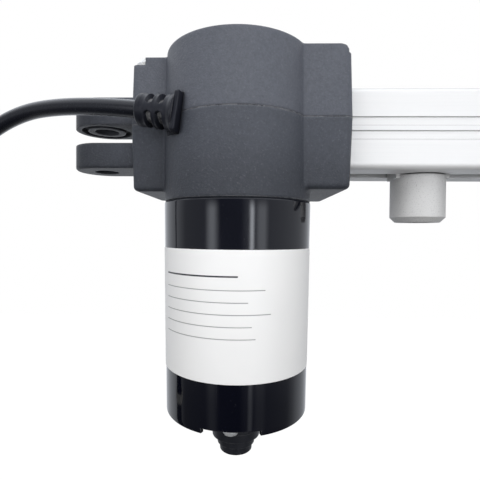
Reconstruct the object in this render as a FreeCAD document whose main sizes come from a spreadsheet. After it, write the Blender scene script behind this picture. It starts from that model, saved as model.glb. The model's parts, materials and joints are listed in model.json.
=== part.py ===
import FreeCAD, Part
import math
import os

import Sketcher
from FreeCAD import Placement, Rotation, Vector

# A lift-chair linear actuator: a motor hangs from a two-part gearbox, its worm turns a
# wheel on a lead screw, and the screw draws a slider along an aluminium rail.
# Millimetres, +Z up. The origin is the centre of the rear clevis bore: +X runs along the
# rail, +Z along the bore, and the screw's axis is the X axis. The motor hangs towards -Z,
# in front of the screw (at -Y).

doc = FreeCAD.newDocument("RailActuator")
sheet = doc.addObject("Spreadsheet::Sheet", "Sizes")

SIZES = (
    # rear clevis
    ("bore_d", 8.4, "rear clevis bore"),
    ("ear_radius", 10.3, "clevis ear, half width"),
    ("ear_out", 11.7, "clevis ears' outer faces, from the parting plane"),
    ("ear_up", 2.5, "upper ear's inner face, above the parting plane"),
    ("ear_down", 3.5, "lower ear's inner face, below it"),
    # gearbox housing
    ("left_x", 14.3, "left face"),
    ("right_x", 80.2, "right face"),
    ("back_y", 19.0, "back face, behind the screw axis"),
    ("front_left", 19.5, "left flange, in front of the screw axis"),
    ("front_right", 28.0, "right flange, in front of the screw axis"),
    ("top_z", 20.75, "top face over the parting plane"),
    ("under_z", 20.3, "underside below the parting plane"),
    ("skirt_z", 23.5, "motor skirt below the parting plane"),
    ("front_in", 0.2, "front cylinder, radius less than the motor cover's"),
    ("draft", 1.5, "draft of the block, degrees"),
    ("front_draft", 1.1, "draft of the front cylinder, degrees"),
    ("notch_z", 18.3, "screw notches' floor"),
    # motor
    ("motor_x", 47.2, "motor axis, along the rail"),
    ("motor_off", 16.0, "motor axis in front of the screw axis"),
    ("seam", 0.3, "seal between the skirt and the cover"),
    ("cover_top_rad", 22.5, "motor cover radius, top"),
    ("cover_narrow", 0.87, "how much narrower the cover is at its bottom"),
    ("cover_low", 86.8, "motor cover's lower rim, below the parting plane"),
    ("cover_wall", 1.5, "motor cover wall"),
    ("can_gap", 0.93, "room between the can and the cover's wall at its bottom"),
    ("can_wall", 1.4, "motor can wall"),
    ("label_top", 37.4, "label's top edge, below the parting plane"),
    ("label_low", 72.7, "label's lower edge"),
    ("label_half", 78.0, "label's half wrap, degrees"),
    ("label_thick", 0.12, "label thickness"),
    ("shaft_rad", 2.0, "motor shaft radius"),
    ("worm_rad", 3.6, "worm outside radius"),
    # lead screw and wheel
    ("screw_rad", 5.0, "lead screw radius"),
    ("wheel_rad", 13.5, "worm wheel outside radius"),
    ("wheel_wide", 8.4, "worm wheel rim width"),
    ("bearing_rad", 13.0, "ball bearing outside radius"),
    ("bearing_wide", 9.0, "ball bearing width"),
    ("bearing_x", 57.0, "ball bearing's left face"),
    # rail
    ("rail_in", 70.0, "rail's inner end, inside the housing"),
    ("rail_end", 243.0, "rail's outer end"),
    ("rail_deep", 30.4, "rail depth, front to back"),
    ("rail_low", 12.6, "rail's underside below the screw axis"),
    ("rail_high", 13.0, "rail's top over the screw axis"),
    ("rail_wall", 2.0, "rail wall"),
    ("slot_wide", 9.6, "slot in the rail's underside"),
    ("groove_deep", 0.5, "depth of the rail's side grooves"),
    ("cap_thick", 4.5, "rail end cap's plate"),
    # slider
    ("slide_x", 109.7, "slider boss, in the pose of the photograph"),
    ("boss_rad", 9.0, "slider boss radius"),
    ("boss_low", 28.85, "slider boss's lower face, below the screw axis"),
    ("boss_bore_d", 8.2, "bore in the slider boss"),
    ("boss_bore_deep", 13.0, "depth of that bore"),
    ("block_long", 26.0, "slider block length"),
    ("nut_rad", 7.6, "drive nut radius"),
    ("play", 0.35, "running gap round the slider"),
    # lead
    ("lead_d", 5.0, "lead diameter"),
    ("gland_back", 13.0, "strain relief, turned back from the rail's line, degrees"),
    ("gland_low", 0.5, "strain relief's centre below the parting plane"),
    ("gland_up", 9.5, "strain relief, tilted up, degrees"),
    ("hank_long", 100.0, "length of the folded hank"),
    ("hank_wide", 36.0, "width of the folded hank's end loops"),
    ("hank_waist", 10.8, "width of the folded hank at its tie"),
    ("hank_thick", 23.0, "thickness of the folded hank"),
    ("tie_tall", 6.0, "height of the hank's tie"),
)


class Size:
    """A length that knows both its value and the sheet expression that it comes from."""

    def __init__(self, value, text):
        self.value, self.text = float(value), text

    def _with(self, other, sign, result):
        return Size(result, f"({self.text} {sign} {size(other).text})")

    def __add__(self, other):
        return self._with(other, "+", self.value + size(other).value)

    def __radd__(self, other):
        return size(other) + self

    def __sub__(self, other):
        return self._with(other, "-", self.value - size(other).value)

    def __rsub__(self, other):
        return size(other) - self

    def __mul__(self, other):
        return self._with(other, "*", self.value * size(other).value)

    def __rmul__(self, other):
        return size(other) * self

    def __truediv__(self, other):
        return self._with(other, "/", self.value / size(other).value)

    def __neg__(self):
        return Size(-self.value, f"(0 - {self.text})")


def size(x):
    return x if isinstance(x, Size) else Size(x, f"{float(x):.6g}")


class Sizes:
    pass


S = Sizes()
for row, (alias, number, what) in enumerate(SIZES, 1):
    sheet.set(f"A{row}", what)
    sheet.set(f"B{row}", str(number))
    sheet.setAlias(f"B{row}", alias)
doc.recompute()
for alias, _, _ in SIZES:
    setattr(S, alias, Size(float(getattr(sheet, alias)), f"Sizes.{alias}"))

# radii that follow the motor cover
S.front_rad = S.cover_top_rad - S.front_in
S.cover_low_rad = S.cover_top_rad - S.cover_narrow
S.can_rad = S.cover_low_rad - S.cover_wall - S.can_gap
S.core_rad = S.can_rad - 5.0

PARTS = []  # the sub-parts, in the order they are written


def bind(obj, prop, value):
    """Set a property and bind it to the sheet."""
    obj.setExpression(prop, size(value).text)


def put(obj, x=0, y=0, z=0, turn=None):
    """Place an object, its position bound to the sheet."""
    x, y, z = size(x), size(y), size(z)
    obj.Placement = Placement(Vector(x.value, y.value, z.value), turn or Rotation())
    for axis, value in zip("xyz", (x, y, z)):
        if value.text != "0":
            bind(obj, f"Placement.Base.{axis}", value)
    return obj


def finish(obj, label):
    """List an object as a sub-part."""
    obj.Label = label
    PARTS.append(obj)
    return obj


# ---------------------------------------------------------------- PartDesign helpers


def new_body(name):
    return doc.addObject("PartDesign::Body", name)


def plane(body, role):
    return next(o for o in body.Origin.OriginFeatures if o.Role == role)


def new_sketch(body, role, at=0, turn=None):
    """A sketch on one of the body's planes, moved along that plane's normal by at."""
    sketch = body.newObject("Sketcher::SketchObject", body.Name + "Sketch")
    sketch.AttachmentSupport = (plane(body, role), [""])
    sketch.MapMode = "FlatFace"
    at = size(at)
    sketch.AttachmentOffset = Placement(Vector(0, 0, at.value), turn or Rotation())
    if at.text != "0":
        bind(sketch, "AttachmentOffset.Base.z", at)
    return sketch


def pin_point(sketch, geo, pos, x, y):
    """Fix a sketch point at (x, y), bound to the sheet."""
    for kind, value, axis in (("DistanceX", size(x), -2), ("DistanceY", size(y), -1)):
        if value.text == "0":
            sketch.addConstraint(Sketcher.Constraint("PointOnObject", geo, pos, axis))
        else:
            c = Sketcher.Constraint(kind, -1, 1, geo, pos, value.value)
            index = sketch.addConstraint(c)
            bind(sketch, f"Constraints[{index}]", value)


def polygon(sketch, points):
    """A closed outline of straight lines through points."""
    points = [(size(x), size(y)) for x, y in points]
    n, first = len(points), sketch.GeometryCount
    for (x0, y0), (x1, y1) in zip(points, points[1:] + points[:1]):
        line = Part.LineSegment(Vector(x0.value, y0.value, 0), Vector(x1.value, y1.value, 0))
        sketch.addGeometry(line, False)
    for k in range(n):
        after = first + (k + 1) % n
        sketch.addConstraint(Sketcher.Constraint("Coincident", first + k, 2, after, 1))
    for k, (x, y) in enumerate(points):
        pin_point(sketch, first + k, 1, x, y)


def circle(sketch, x, y, radius):
    x, y, radius = size(x), size(y), size(radius)
    shape = Part.Circle(Vector(x.value, y.value, 0), Vector(0, 0, 1), radius.value)
    geo = sketch.addGeometry(shape, False)
    pin_point(sketch, geo, 3, x, y)
    index = sketch.addConstraint(Sketcher.Constraint("Radius", geo, radius.value))
    bind(sketch, f"Constraints[{index}]", radius)


def pad(body, sketch, length, back=False, taper=None):
    f = body.newObject("PartDesign::Pad", body.Name + "Pad")
    f.Profile = sketch
    f.Length = size(length).value
    bind(f, "Length", length)
    f.Reversed = back
    if taper is not None:
        bind(f, "TaperAngle", taper)
    return f


def pocket(body, sketch, length, ahead=True):
    """A pocket; ahead cuts along the sketch plane's normal, not against it."""
    f = body.newObject("PartDesign::Pocket", body.Name + "Pocket")
    f.Profile = sketch
    f.Length = size(length).value
    bind(f, "Length", length)
    f.Reversed = ahead
    return f


def revolve(name, profile, role="XZ_Plane"):
    """A body of revolution about its own Z axis, from (radius, height) points."""
    body = new_body(name)
    sketch = new_sketch(body, role)
    polygon(sketch, profile)
    f = body.newObject("PartDesign::Revolution", name + "Turned")
    f.Profile = sketch
    f.ReferenceAxis = (sketch, ["V_Axis"])
    f.Angle = 360
    return body


def round_edges(body, radius, test, kind="Fillet"):
    """Round or chamfer the edges of the body so far that pass the test."""
    doc.recompute()
    base = body.Tip
    names = [f"Edge{k}" for k, e in enumerate(base.Shape.Edges, 1) if test(e)]
    if not names:
        raise RuntimeError(f"{body.Name}: no edge to round")
    f = body.newObject("PartDesign::" + kind, body.Name + kind)
    f.Base = (base, names)
    bind(f, "Radius" if kind == "Fillet" else "Size", radius)
    doc.recompute()
    return f


def box_of(e):
    b = e.BoundBox
    return b.XMin, b.XMax, b.YMin, b.YMax, b.ZMin, b.ZMax


def upright(e, x, y, tol=1.6):
    """Is the edge a vertical one near (x, y)?"""
    x0, x1, y0, y1, z0, z1 = box_of(e)
    return (
        z1 - z0 > 3
        and abs((x0 + x1) / 2 - x) < tol
        and abs((y0 + y1) / 2 - y) < tol
        and x1 - x0 < 1.5
        and y1 - y0 < 1.5
    )


ALONG_X = Rotation(Vector(0, 1, 0), 90)  # a body's own Z axis comes to lie along +X

# ---------------------------------------------------------------- Part helpers


def prism(name, x, y, z, dx, dy, dz, turn=None):
    b = doc.addObject("Part::Box", name)
    for prop, value in (("Length", dx), ("Width", dy), ("Height", dz)):
        bind(b, prop, value)
    return put(b, x, y, z, turn)


def cylinder(name, x, y, z, radius, height, turn=None):
    c = doc.addObject("Part::Cylinder", name)
    bind(c, "Radius", radius)
    bind(c, "Height", height)
    return put(c, x, y, z, turn)


def cut(name, base, *tools):
    """base less each of the tools, one cut after another."""
    for k, tool in enumerate(tools):
        f = doc.addObject("Part::Cut", name + str(k))
        f.Base, f.Tool, base = base, tool, f
    return base


def fuse(name, *shapes):
    f = doc.addObject("Part::MultiFuse", name)
    f.Shapes = list(shapes)
    return f


# ---------------------------------------------------------------- gearbox housing

MOTOR_Y = -S.motor_off
# the strain relief stands on the front cylinder's left, its plate's inner face at this point
GLAND_X, GLAND_Y = S.motor_x - S.front_rad * 0.666, MOTOR_Y - S.front_rad * 0.686
GLAND = Vector(GLAND_X.value, GLAND_Y.value, -S.gland_low.value)
GLAND_TURN = Rotation(Vector(0, 0, 1), 180 - S.gland_back.value).multiply(
    Rotation(Vector(0, 1, 0), -S.gland_up.value)
)
# housing screws: (x, y) and whether they come through a notch that shows
SCREWS = (
    (S.left_x + 3.5, -S.front_left + 4.7),
    (S.right_x - 3.7, -S.front_right + 7.2),
    (S.left_x + 4.8, S.back_y - 5.4),
    (S.motor_x + S.front_rad * 0.507, MOTOR_Y - S.front_rad * 0.628),
)


def housing_half(name, up):
    """One half of the gearbox, moulded from the parting plane with draft."""
    body = new_body(name)
    sign = 1 if up else -1
    high = S.top_z if up else S.under_z

    def layer(at):
        return new_sketch(body, "XY_Plane", size(at) if up else -size(at))

    def sunk(at, length, *circles):
        """Pockets with their mouth at height at, cut away from the parting plane."""
        for x, y, radius in circles:
            sketch = layer(at)
            circle(sketch, x, y, radius)
            pocket(body, sketch, length, ahead=up)

    def bored(x, length, radius, y=0, z=0):
        """A round chamber along X, half of it in each half of the housing."""
        sketch = new_sketch(body, "YZ_Plane", x)
        circle(sketch, y, z, radius)
        pocket(body, sketch, length)

    block = layer(0)
    polygon(
        block,
        (
            (S.left_x, -S.front_left),
            (S.motor_x, -S.front_left),
            (S.motor_x, -S.front_right),
            (S.right_x, -S.front_right),
            (S.right_x, S.back_y),
            (S.left_x, S.back_y),
        ),
    )
    pad(body, block, high, back=not up, taper=-S.draft)
    doc.recompute()
    mid = S.draft.value * math.pi / 180 * high.value / 2
    left, right = S.left_x.value + mid, S.right_x.value - mid
    back, front = S.back_y.value - mid, -S.front_right.value + mid
    flange = -S.front_left.value + mid
    round_edges(
        body,
        2.4,
        lambda e: upright(e, right, front) or upright(e, right, back) or upright(e, left, back),
    )
    round_edges(body, 1.6, lambda e: upright(e, left, flange, 1.0))

    def level(e):
        """How far a flat edge lies from the parting plane, or None."""
        return sign * e.BoundBox.ZMin if e.BoundBox.ZLength < 1e-4 else None

    def at_rim(e):
        return level(e) is not None and abs(level(e) - high.value) < 1e-3

    if not up:
        round_edges(body, 1.5, at_rim)
    barrel = layer(0)
    circle(barrel, S.motor_x, MOTOR_Y, S.front_rad)
    if up:
        pad(body, barrel, high, taper=-S.front_draft)
    else:
        pad(body, barrel, S.skirt_z, back=True)
    # the two creases between the flanges and the front cylinder
    doc.recompute()
    dx_left = math.sqrt(S.front_rad.value**2 - (S.front_left - S.motor_off).value ** 2)
    dx_right = math.sqrt(S.front_rad.value**2 - (S.front_right - S.motor_off).value ** 2)
    round_edges(
        body,
        1.3,
        lambda e: upright(e, S.motor_x.value - dx_left, flange, 1.0)
        or upright(e, S.motor_x.value + dx_right, front, 1.0),
    )
    if up:
        round_edges(body, 0.5, at_rim)
    # clevis ear
    inner = S.ear_up if up else S.ear_down
    ear = layer(inner)
    circle(ear, 0, 0, S.ear_radius)
    pad(body, ear, S.ear_out - inner, back=not up)
    arm = layer(inner)
    polygon(
        arm,
        (
            (0, -S.ear_radius),
            (S.left_x + 4, -S.ear_radius),
            (S.left_x + 4, S.ear_radius),
            (0, S.ear_radius),
        ),
    )
    pad(body, arm, S.ear_out - inner, back=not up)
    round_edges(
        body,
        1.0,
        lambda e: level(e) is not None
        and abs(level(e) - S.ear_out.value) < 1e-3
        and e.BoundBox.XMin < S.left_x.value - 1,
    )
    # clevis bore, with a cored ring round it in the gap face
    sunk(0, S.ear_out + 1, (0, 0, S.bore_d / 2))
    ring = layer(inner)
    circle(ring, 0, 0, S.bore_d / 2 + 4.3)
    circle(ring, 0, 0, S.bore_d / 2 + 2.2)
    pocket(body, ring, 1.4, ahead=up)
    # chambers along the screw
    bored(S.motor_x - 5.8, 14.2, S.wheel_rad + 1.0)
    bored(28, S.rail_in - 28, 6.6)
    bored(29.9, 7.2, 8.02)
    bored(S.bearing_x - 0.05, S.bearing_wide + 0.1, S.bearing_rad + 0.03)
    bored(S.bearing_x + S.bearing_wide, S.rail_in - S.bearing_x - S.bearing_wide, 10.5)
    socket = new_sketch(body, "YZ_Plane", S.rail_in - 0.1)
    polygon(
        socket,
        (
            (-S.rail_deep / 2 - 0.1, -S.rail_low - 0.1),
            (S.rail_deep / 2 + 0.1, -S.rail_low - 0.1),
            (S.rail_deep / 2 + 0.1, S.rail_high + 0.1),
            (-S.rail_deep / 2 - 0.1, S.rail_high + 0.1),
        ),
    )
    pocket(body, socket, S.right_x - S.rail_in + 1)
    # worm and motor nose
    if up:
        sunk(0, 17.2, (S.motor_x, MOTOR_Y, S.worm_rad + 1.0))
        sunk(11.9, 5.3, (S.motor_x, MOTOR_Y, 5.02))
    else:
        sunk(0, S.skirt_z, (S.motor_x, MOTOR_Y, S.worm_rad + 1.0))
        sunk(18.0, S.skirt_z - 18.0, (S.motor_x, MOTOR_Y, S.can_rad + 0.1))
    # the strain relief's recess and window
    for deep, wide, tall, start, side in (
        (10.0, 8.6, 11.2, -0.05, -4.3),
        (8.1, 11.0, 11.2, 1.55, -5.5),
        (9.0, 4.2, 7.7, -8.0, -3.85),
    ):
        hole = body.newObject("PartDesign::SubtractiveBox", name + "Gland")
        hole.AttachmentSupport = (plane(body, "XY_Plane"), [""])
        hole.MapMode = "FlatFace"
        hole.Length, hole.Width, hole.Height = deep, wide, tall
        corner = GLAND_TURN.multVec(Vector(start, side, -tall / 2))
        hole.AttachmentOffset = Placement(GLAND + corner, GLAND_TURN)
        bind(hole, "AttachmentOffset.Base.x", GLAND_X + corner.x)
        bind(hole, "AttachmentOffset.Base.y", GLAND_Y + corner.y)
        bind(hole, "AttachmentOffset.Base.z", corner.z - S.gland_low)
    # screws
    if up:
        for x, y in SCREWS:
            sunk(0, S.top_z + 1, (x, y, 1.6))
        left_notch = layer(S.notch_z)
        polygon(
            left_notch,
            (
                (S.left_x - 1, -S.front_left - 1),
                (S.left_x + 4.4, -S.front_left - 1),
                (S.left_x + 4.4, SCREWS[0][1]),
                (S.left_x - 1, SCREWS[0][1]),
            ),
        )
        pocket(body, left_notch, 5)
        right_notch = layer(S.notch_z)
        polygon(
            right_notch,
            (
                (S.right_x - 7.2, -S.front_right + 2.7),
                (S.right_x + 1, -S.front_right + 2.7),
                (S.right_x + 1, -S.front_right + 10.7),
                (S.right_x - 7.2, -S.front_right + 10.7),
            ),
        )
        pocket(body, right_notch, 5)
        # a rebate along the top of the right face, in front of the notch and beside it
        rebate = new_sketch(body, "XZ_Plane", S.front_right - 10.7)
        polygon(
            rebate,
            (
                (S.right_x - 1.4, S.notch_z),
                (S.right_x + 2, S.notch_z),
                (S.right_x + 2, S.top_z + 1),
                (S.right_x - 4.0, S.top_z + 1),
                (S.right_x - 4.0, S.top_z - 0.02),
                (S.right_x - 2.2, S.top_z - 0.65),
                (S.right_x - 1.5, S.top_z - 1.5),
            ),
        )
        pocket(body, rebate, 12)
        for x, y in (SCREWS[0], SCREWS[2], SCREWS[3]):
            sunk(S.notch_z, 5, (x, y, 3.3))
    else:
        for x, y in SCREWS:
            sunk(0, 12, (x, y, 1.5))
    return finish(body, name)


upper_housing = housing_half("upper_housing", True)
lower_housing = housing_half("lower_housing", False)

for k, (x, y) in enumerate(SCREWS, 1):
    screw = revolve(
        f"housing_screw_{k}",
        (
            (0, -11.5),
            (1.45, -11.5),
            (1.45, S.notch_z),
            (2.8, S.notch_z),
            (2.8, S.notch_z + 1.5),
            (1.9, S.notch_z + 2.9),
            (0, S.notch_z + 2.9),
        ),
    )
    cross = new_sketch(screw, "XY_Plane", S.notch_z + 1.5)
    polygon(
        cross,
        (
            (-1.4, -0.3), (-0.3, -0.3), (-0.3, -1.4), (0.3, -1.4), (0.3, -0.3), (1.4, -0.3),
            (1.4, 0.3), (0.3, 0.3), (0.3, 1.4), (-0.3, 1.4), (-0.3, 0.3), (-1.4, 0.3),
        ),
    )
    pocket(screw, cross, 3)
    put(screw, x, y, 0)
    finish(screw, f"housing_screw_{k}")

# ---------------------------------------------------------------- motor


def on_motor(obj, label, z=0, turn=None):
    put(obj, S.motor_x, MOTOR_Y, z, turn)
    return finish(obj, label)


COVER_TOP = S.skirt_z + S.seam

seal = revolve(
    "motor_seal",
    (
        (S.can_rad + 0.3, -S.skirt_z),
        (S.front_rad - 0.4, -S.skirt_z),
        (S.front_rad - 0.4, -COVER_TOP),
        (S.can_rad + 0.3, -COVER_TOP),
    ),
)
on_motor(seal, "motor_seal")

cover = revolve(
    "motor_cover",
    (
        (S.cover_top_rad - S.cover_wall, -COVER_TOP),
        (S.cover_top_rad - 0.25, -COVER_TOP),
        (S.cover_top_rad, -COVER_TOP - 0.25),
        (S.cover_low_rad, -S.cover_low + 0.4),
        (S.cover_low_rad - 0.4, -S.cover_low),
        (S.cover_low_rad - S.cover_wall, -S.cover_low),
    ),
)
notch = new_sketch(cover, "XY_Plane", -S.cover_low - 1)
polygon(
    notch,
    (
        (-8.9, -S.cover_top_rad - 2),
        (7.4, -S.cover_top_rad - 2),
        (7.4, -S.cover_top_rad + 5),
        (-8.9, -S.cover_top_rad + 5),
    ),
)
pocket(cover, notch, 2.5)
on_motor(cover, "motor_cover")

slope = (S.cover_top_rad - S.cover_low_rad) / (S.cover_low - COVER_TOP)
label_wide = S.cover_top_rad - slope * (S.label_top - COVER_TOP)
label_narrow = S.cover_top_rad - slope * (S.label_low - COVER_TOP)
label_cones = []
for k, lift in enumerate((S.label_thick + 0.02, size(0.02))):
    cone = doc.addObject("Part::Cone", f"LabelCone{k}")
    bind(cone, "Radius1", label_narrow + lift)
    bind(cone, "Radius2", label_wide + lift)
    bind(cone, "Height", S.label_low - S.label_top)
    bind(cone, "Angle", S.label_half * 2 if k == 0 else size(360))
    label_cones.append(cone)
put(label_cones[0], 0, 0, 0, Rotation(Vector(0, 0, 1), -90 - S.label_half.value))
label = cut("RatingLabel", *label_cones)
on_motor(label, "rating_label", -S.label_low)

can = revolve(
    "motor_can",
    (
        (4.1, -18.2),
        (S.can_rad, -18.2),
        (S.can_rad, -82.0),
        (S.can_rad - S.can_wall, -82.0),
        (S.can_rad - S.can_wall, -18.2 - S.can_wall),
        (7.2, -18.2 - S.can_wall),
        (7.2, -24.0),
        (4.1, -24.0),
    ),
)
on_motor(can, "motor_can")

for k, start in enumerate((30, 210), 1):
    shell = cylinder(f"Magnet{k}Outer", 0, 0, 0, S.can_rad - S.can_wall - 0.03, 37)
    shell.Angle = 120
    shell.Placement = Placement(Vector(), Rotation(Vector(0, 0, 1), start))
    core = cylinder(f"Magnet{k}Inner", 0, 0, 0, S.can_rad - S.can_wall - 3.1, 37)
    on_motor(cut(f"Magnet{k}", shell, core), f"magnet_{k}", -72)

shaft = revolve(
    "motor_shaft",
    (
        (0, -85.6),
        (S.shaft_rad - 0.3, -85.6),
        (S.shaft_rad, -85.3),
        (S.shaft_rad, 16.2),
        (S.shaft_rad - 0.3, 16.5),
        (0, 16.5),
    ),
)
on_motor(shaft, "motor_shaft")

teeth = [(S.shaft_rad + 0.01, -9.4)]
for k in range(10):
    low = -9.4 + k * 1.885
    teeth += [(S.worm_rad - 1.1, low), (S.worm_rad, low + 0.6), (S.worm_rad, low + 1.1)]
teeth += [(S.worm_rad - 1.1, -9.4 + 18.85), (S.shaft_rad + 0.01, -9.4 + 18.85)]
on_motor(revolve("worm", teeth), "worm")

core = new_body("armature_core")
disc = new_sketch(core, "XY_Plane", -70)
circle(disc, 0, 0, S.core_rad)
circle(disc, 0, 0, S.shaft_rad + 0.01)
pad(core, disc, 34)
gash = new_sketch(core, "XY_Plane", -71)
polygon(gash, ((-0.9, 8.0), (0.9, 8.0), (0.9, S.core_rad + 1.3), (-0.9, S.core_rad + 1.3)))
slot = pocket(core, gash, 36)
ring = core.newObject("PartDesign::PolarPattern", "ArmatureSlots")
ring.Originals = [slot]
ring.Axis = (gash, ["N_Axis"])
ring.Angle = 360
ring.Occurrences = 7
core.Tip = ring
on_motor(core, "armature_core")

for label_, low in (("winding_top", -35.9), ("winding_low", -72.8)):
    tall = 4.6 if low > -50 else 2.7
    coil = revolve(
        label_,
        (
            (S.shaft_rad + 1.5, low),
            (S.core_rad - 2.0, low),
            (S.core_rad - 1.0, low + 0.8),
            (S.core_rad - 1.0, low + tall - 0.8),
            (S.core_rad - 2.0, low + tall),
            (S.shaft_rad + 1.5, low + tall),
        ),
    )
    on_motor(coil, label_)

commutator = revolve(
    "commutator",
    ((S.shaft_rad + 0.01, -79.6), (5.5, -79.6), (5.5, -73.0), (S.shaft_rad + 0.01, -73.0)),
)
on_motor(commutator, "commutator")

holder = revolve(
    "brush_holder",
    ((6.4, -81.9), (S.can_rad - 1.8, -81.9), (S.can_rad - 1.8, -80.3), (6.4, -80.3)),
)
on_motor(holder, "brush_holder")
for k, turn in enumerate((0, 180), 1):
    turned = Rotation(Vector(0, 0, 1), turn)
    inner = turned.multVec(Vector(5.65, -1.7, 0))
    brush = prism(
        f"brush_{k}", S.motor_x + inner.x, MOTOR_Y + inner.y, -80.3, 5.0, 3.4, 5.6, turned
    )
    finish(brush, f"brush_{k}")

for name, low, tall, outer in (
    ("motor_front_bush", -23.9, 5.6, 4.08),
    ("motor_rear_bush", -85.9, 3.9, 4.08),
    ("worm_top_bush", 12.0, 5.0, 5.0),
):
    bush = revolve(
        name,
        (
            (S.shaft_rad + 0.05, low),
            (outer, low),
            (outer, low + tall),
            (S.shaft_rad + 0.05, low + tall),
        ),
    )
    on_motor(bush, name)

bell = revolve(
    "end_bell",
    (
        (4.1, -82.0),
        (S.can_rad, -82.0),
        (S.can_rad, -86.2),
        (8.4, -86.2),
        (8.2, -93.2),
        (7.6, -93.5),
        (7.4, -96.0),
        (5.9, -96.3),
        (5.8, -98.5),
        (5.2, -98.7),
        (5.0, -100.7),
        (4.8, -100.9),
        (0, -100.9),
        (0, -86.0),
        (4.1, -86.0),
    ),
)
END_SCREWS = ((-1.1, 7.0 - S.can_rad), (1.1, S.can_rad - 7.0))
pads = new_sketch(bell, "XY_Plane", -86.2)
for x, y in END_SCREWS:
    circle(pads, x, y, 3.3)
pad(bell, pads, 1.1, back=True)
holes = new_sketch(bell, "XY_Plane", -88)
for x, y in END_SCREWS:
    circle(holes, x, y, 1.5)
pocket(bell, holes, 5.5)
on_motor(bell, "end_bell")
for k, (x, y) in enumerate(END_SCREWS, 1):
    screw = revolve(
        f"end_screw_{k}",
        (
            (0, -83.0), (0, -90.3), (1.9, -90.3), (2.65, -89.2), (2.65, -87.3),
            (1.45, -87.3), (1.45, -83.0),
        ),
    )
    groove = new_sketch(screw, "XY_Plane", -90.8)
    polygon(groove, ((-1.7, -0.35), (1.7, -0.35), (1.7, 0.35), (-1.7, 0.35)))
    pocket(screw, groove, 1.6)
    put(screw, S.motor_x + x, MOTOR_Y + y, 0)
    finish(screw, f"end_screw_{k}")

# ---------------------------------------------------------------- wheel and lead screw

rim_half = S.wheel_wide / 2
throat = S.motor_off - S.worm_rad - 0.3  # the rim's radius under the worm
wheel = revolve(
    "worm_wheel",
    (
        (4.52, -5.2),
        (8.0, -5.2),
        (8.0, -rim_half),
        (S.wheel_rad, -rim_half),
        (S.wheel_rad, -rim_half + 0.5),
        (throat + 0.35, -1.7),
        (throat, -0.6),
        (throat, 0.6),
        (throat + 0.35, 1.7),
        (S.wheel_rad, rim_half - 0.5),
        (S.wheel_rad, rim_half),
        (8.0, rim_half),
        (8.0, 7.6),
        (4.52, 7.6),
    ),
)
tooth = new_sketch(wheel, "XY_Plane", -rim_half - 0.5)
polygon(
    tooth,
    ((-0.42, 11.2), (0.42, 11.2), (0.62, S.wheel_rad + 0.6), (-0.62, S.wheel_rad + 0.6)),
)
gap = pocket(wheel, tooth, S.wheel_wide + 1)
gaps = wheel.newObject("PartDesign::PolarPattern", "WheelTeeth")
gaps.Originals = [gap]
gaps.Axis = (tooth, ["N_Axis"])
gaps.Angle = 360
gaps.Occurrences = 43
wheel.Tip = gaps
put(wheel, S.motor_x, 0, 0, ALONG_X)
finish(wheel, "worm_wheel")


def on_screw(obj, label, x=0):
    put(obj, x, 0, 0, ALONG_X)
    return finish(obj, label)


lead_screw = revolve(
    "lead_screw",
    (
        (0, 28.4),
        (3.55, 28.4),
        (3.95, 28.8),
        (3.95, 38.4),
        (4.5, 38.4),
        (4.5, S.bearing_x - 2),
        (S.screw_rad, S.bearing_x - 2),
        (S.screw_rad, S.rail_end - 9.6),
        (3.5, S.rail_end - 9.6),
        (3.5, S.rail_end - 1.6),
        (0, S.rail_end - 1.6),
    ),
)
on_screw(lead_screw, "lead_screw")
left_bush = revolve("screw_rear_bush", ((4.0, 30.0), (8.0, 30.0), (8.0, 37.0), (4.0, 37.0)))
on_screw(left_bush, "screw_rear_bush")
washer = revolve("thrust_washer", ((4.0, 37.2), (6.2, 37.2), (6.2, 38.2), (4.0, 38.2)))
on_screw(washer, "thrust_washer")

mid_rad = (S.bearing_rad + S.screw_rad) / 2  # the balls run at this radius
b0, b1 = S.bearing_x, S.bearing_x + S.bearing_wide
bm = S.bearing_x + S.bearing_wide / 2
outer_race = revolve(
    "bearing_outer_race",
    (
        (mid_rad + 1.3, b0),
        (S.bearing_rad, b0),
        (S.bearing_rad, b1),
        (mid_rad + 1.3, b1),
        (mid_rad + 1.3, bm + 1.7),
        (mid_rad + 2.1, bm),
        (mid_rad + 1.3, bm - 1.7),
    ),
)
on_screw(outer_race, "bearing_outer_race")
inner_race = revolve(
    "bearing_inner_race",
    (
        (S.screw_rad + 0.01, b0),
        (mid_rad - 1.3, b0),
        (mid_rad - 1.3, bm - 1.7),
        (mid_rad - 2.1, bm),
        (mid_rad - 1.3, bm + 1.7),
        (mid_rad - 1.3, b1),
        (S.screw_rad + 0.01, b1),
    ),
)
on_screw(inner_race, "bearing_inner_race")
cage = revolve(
    "bearing_cage",
    (
        (mid_rad - 0.7, bm - 2.6),
        (mid_rad + 0.7, bm - 2.6),
        (mid_rad + 0.9, bm - 1.5),
        (mid_rad + 1.6, bm),
        (mid_rad + 0.9, bm + 1.5),
        (mid_rad + 0.7, bm + 2.6),
        (mid_rad - 0.7, bm + 2.6),
        (mid_rad - 0.9, bm + 1.5),
        (mid_rad - 1.6, bm),
        (mid_rad - 0.9, bm - 1.5),
    ),
)
on_screw(cage, "bearing_cage")

# ---------------------------------------------------------------- rail

half = S.rail_deep / 2
inside = half - S.rail_wall
notched = half - S.groove_deep
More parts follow.
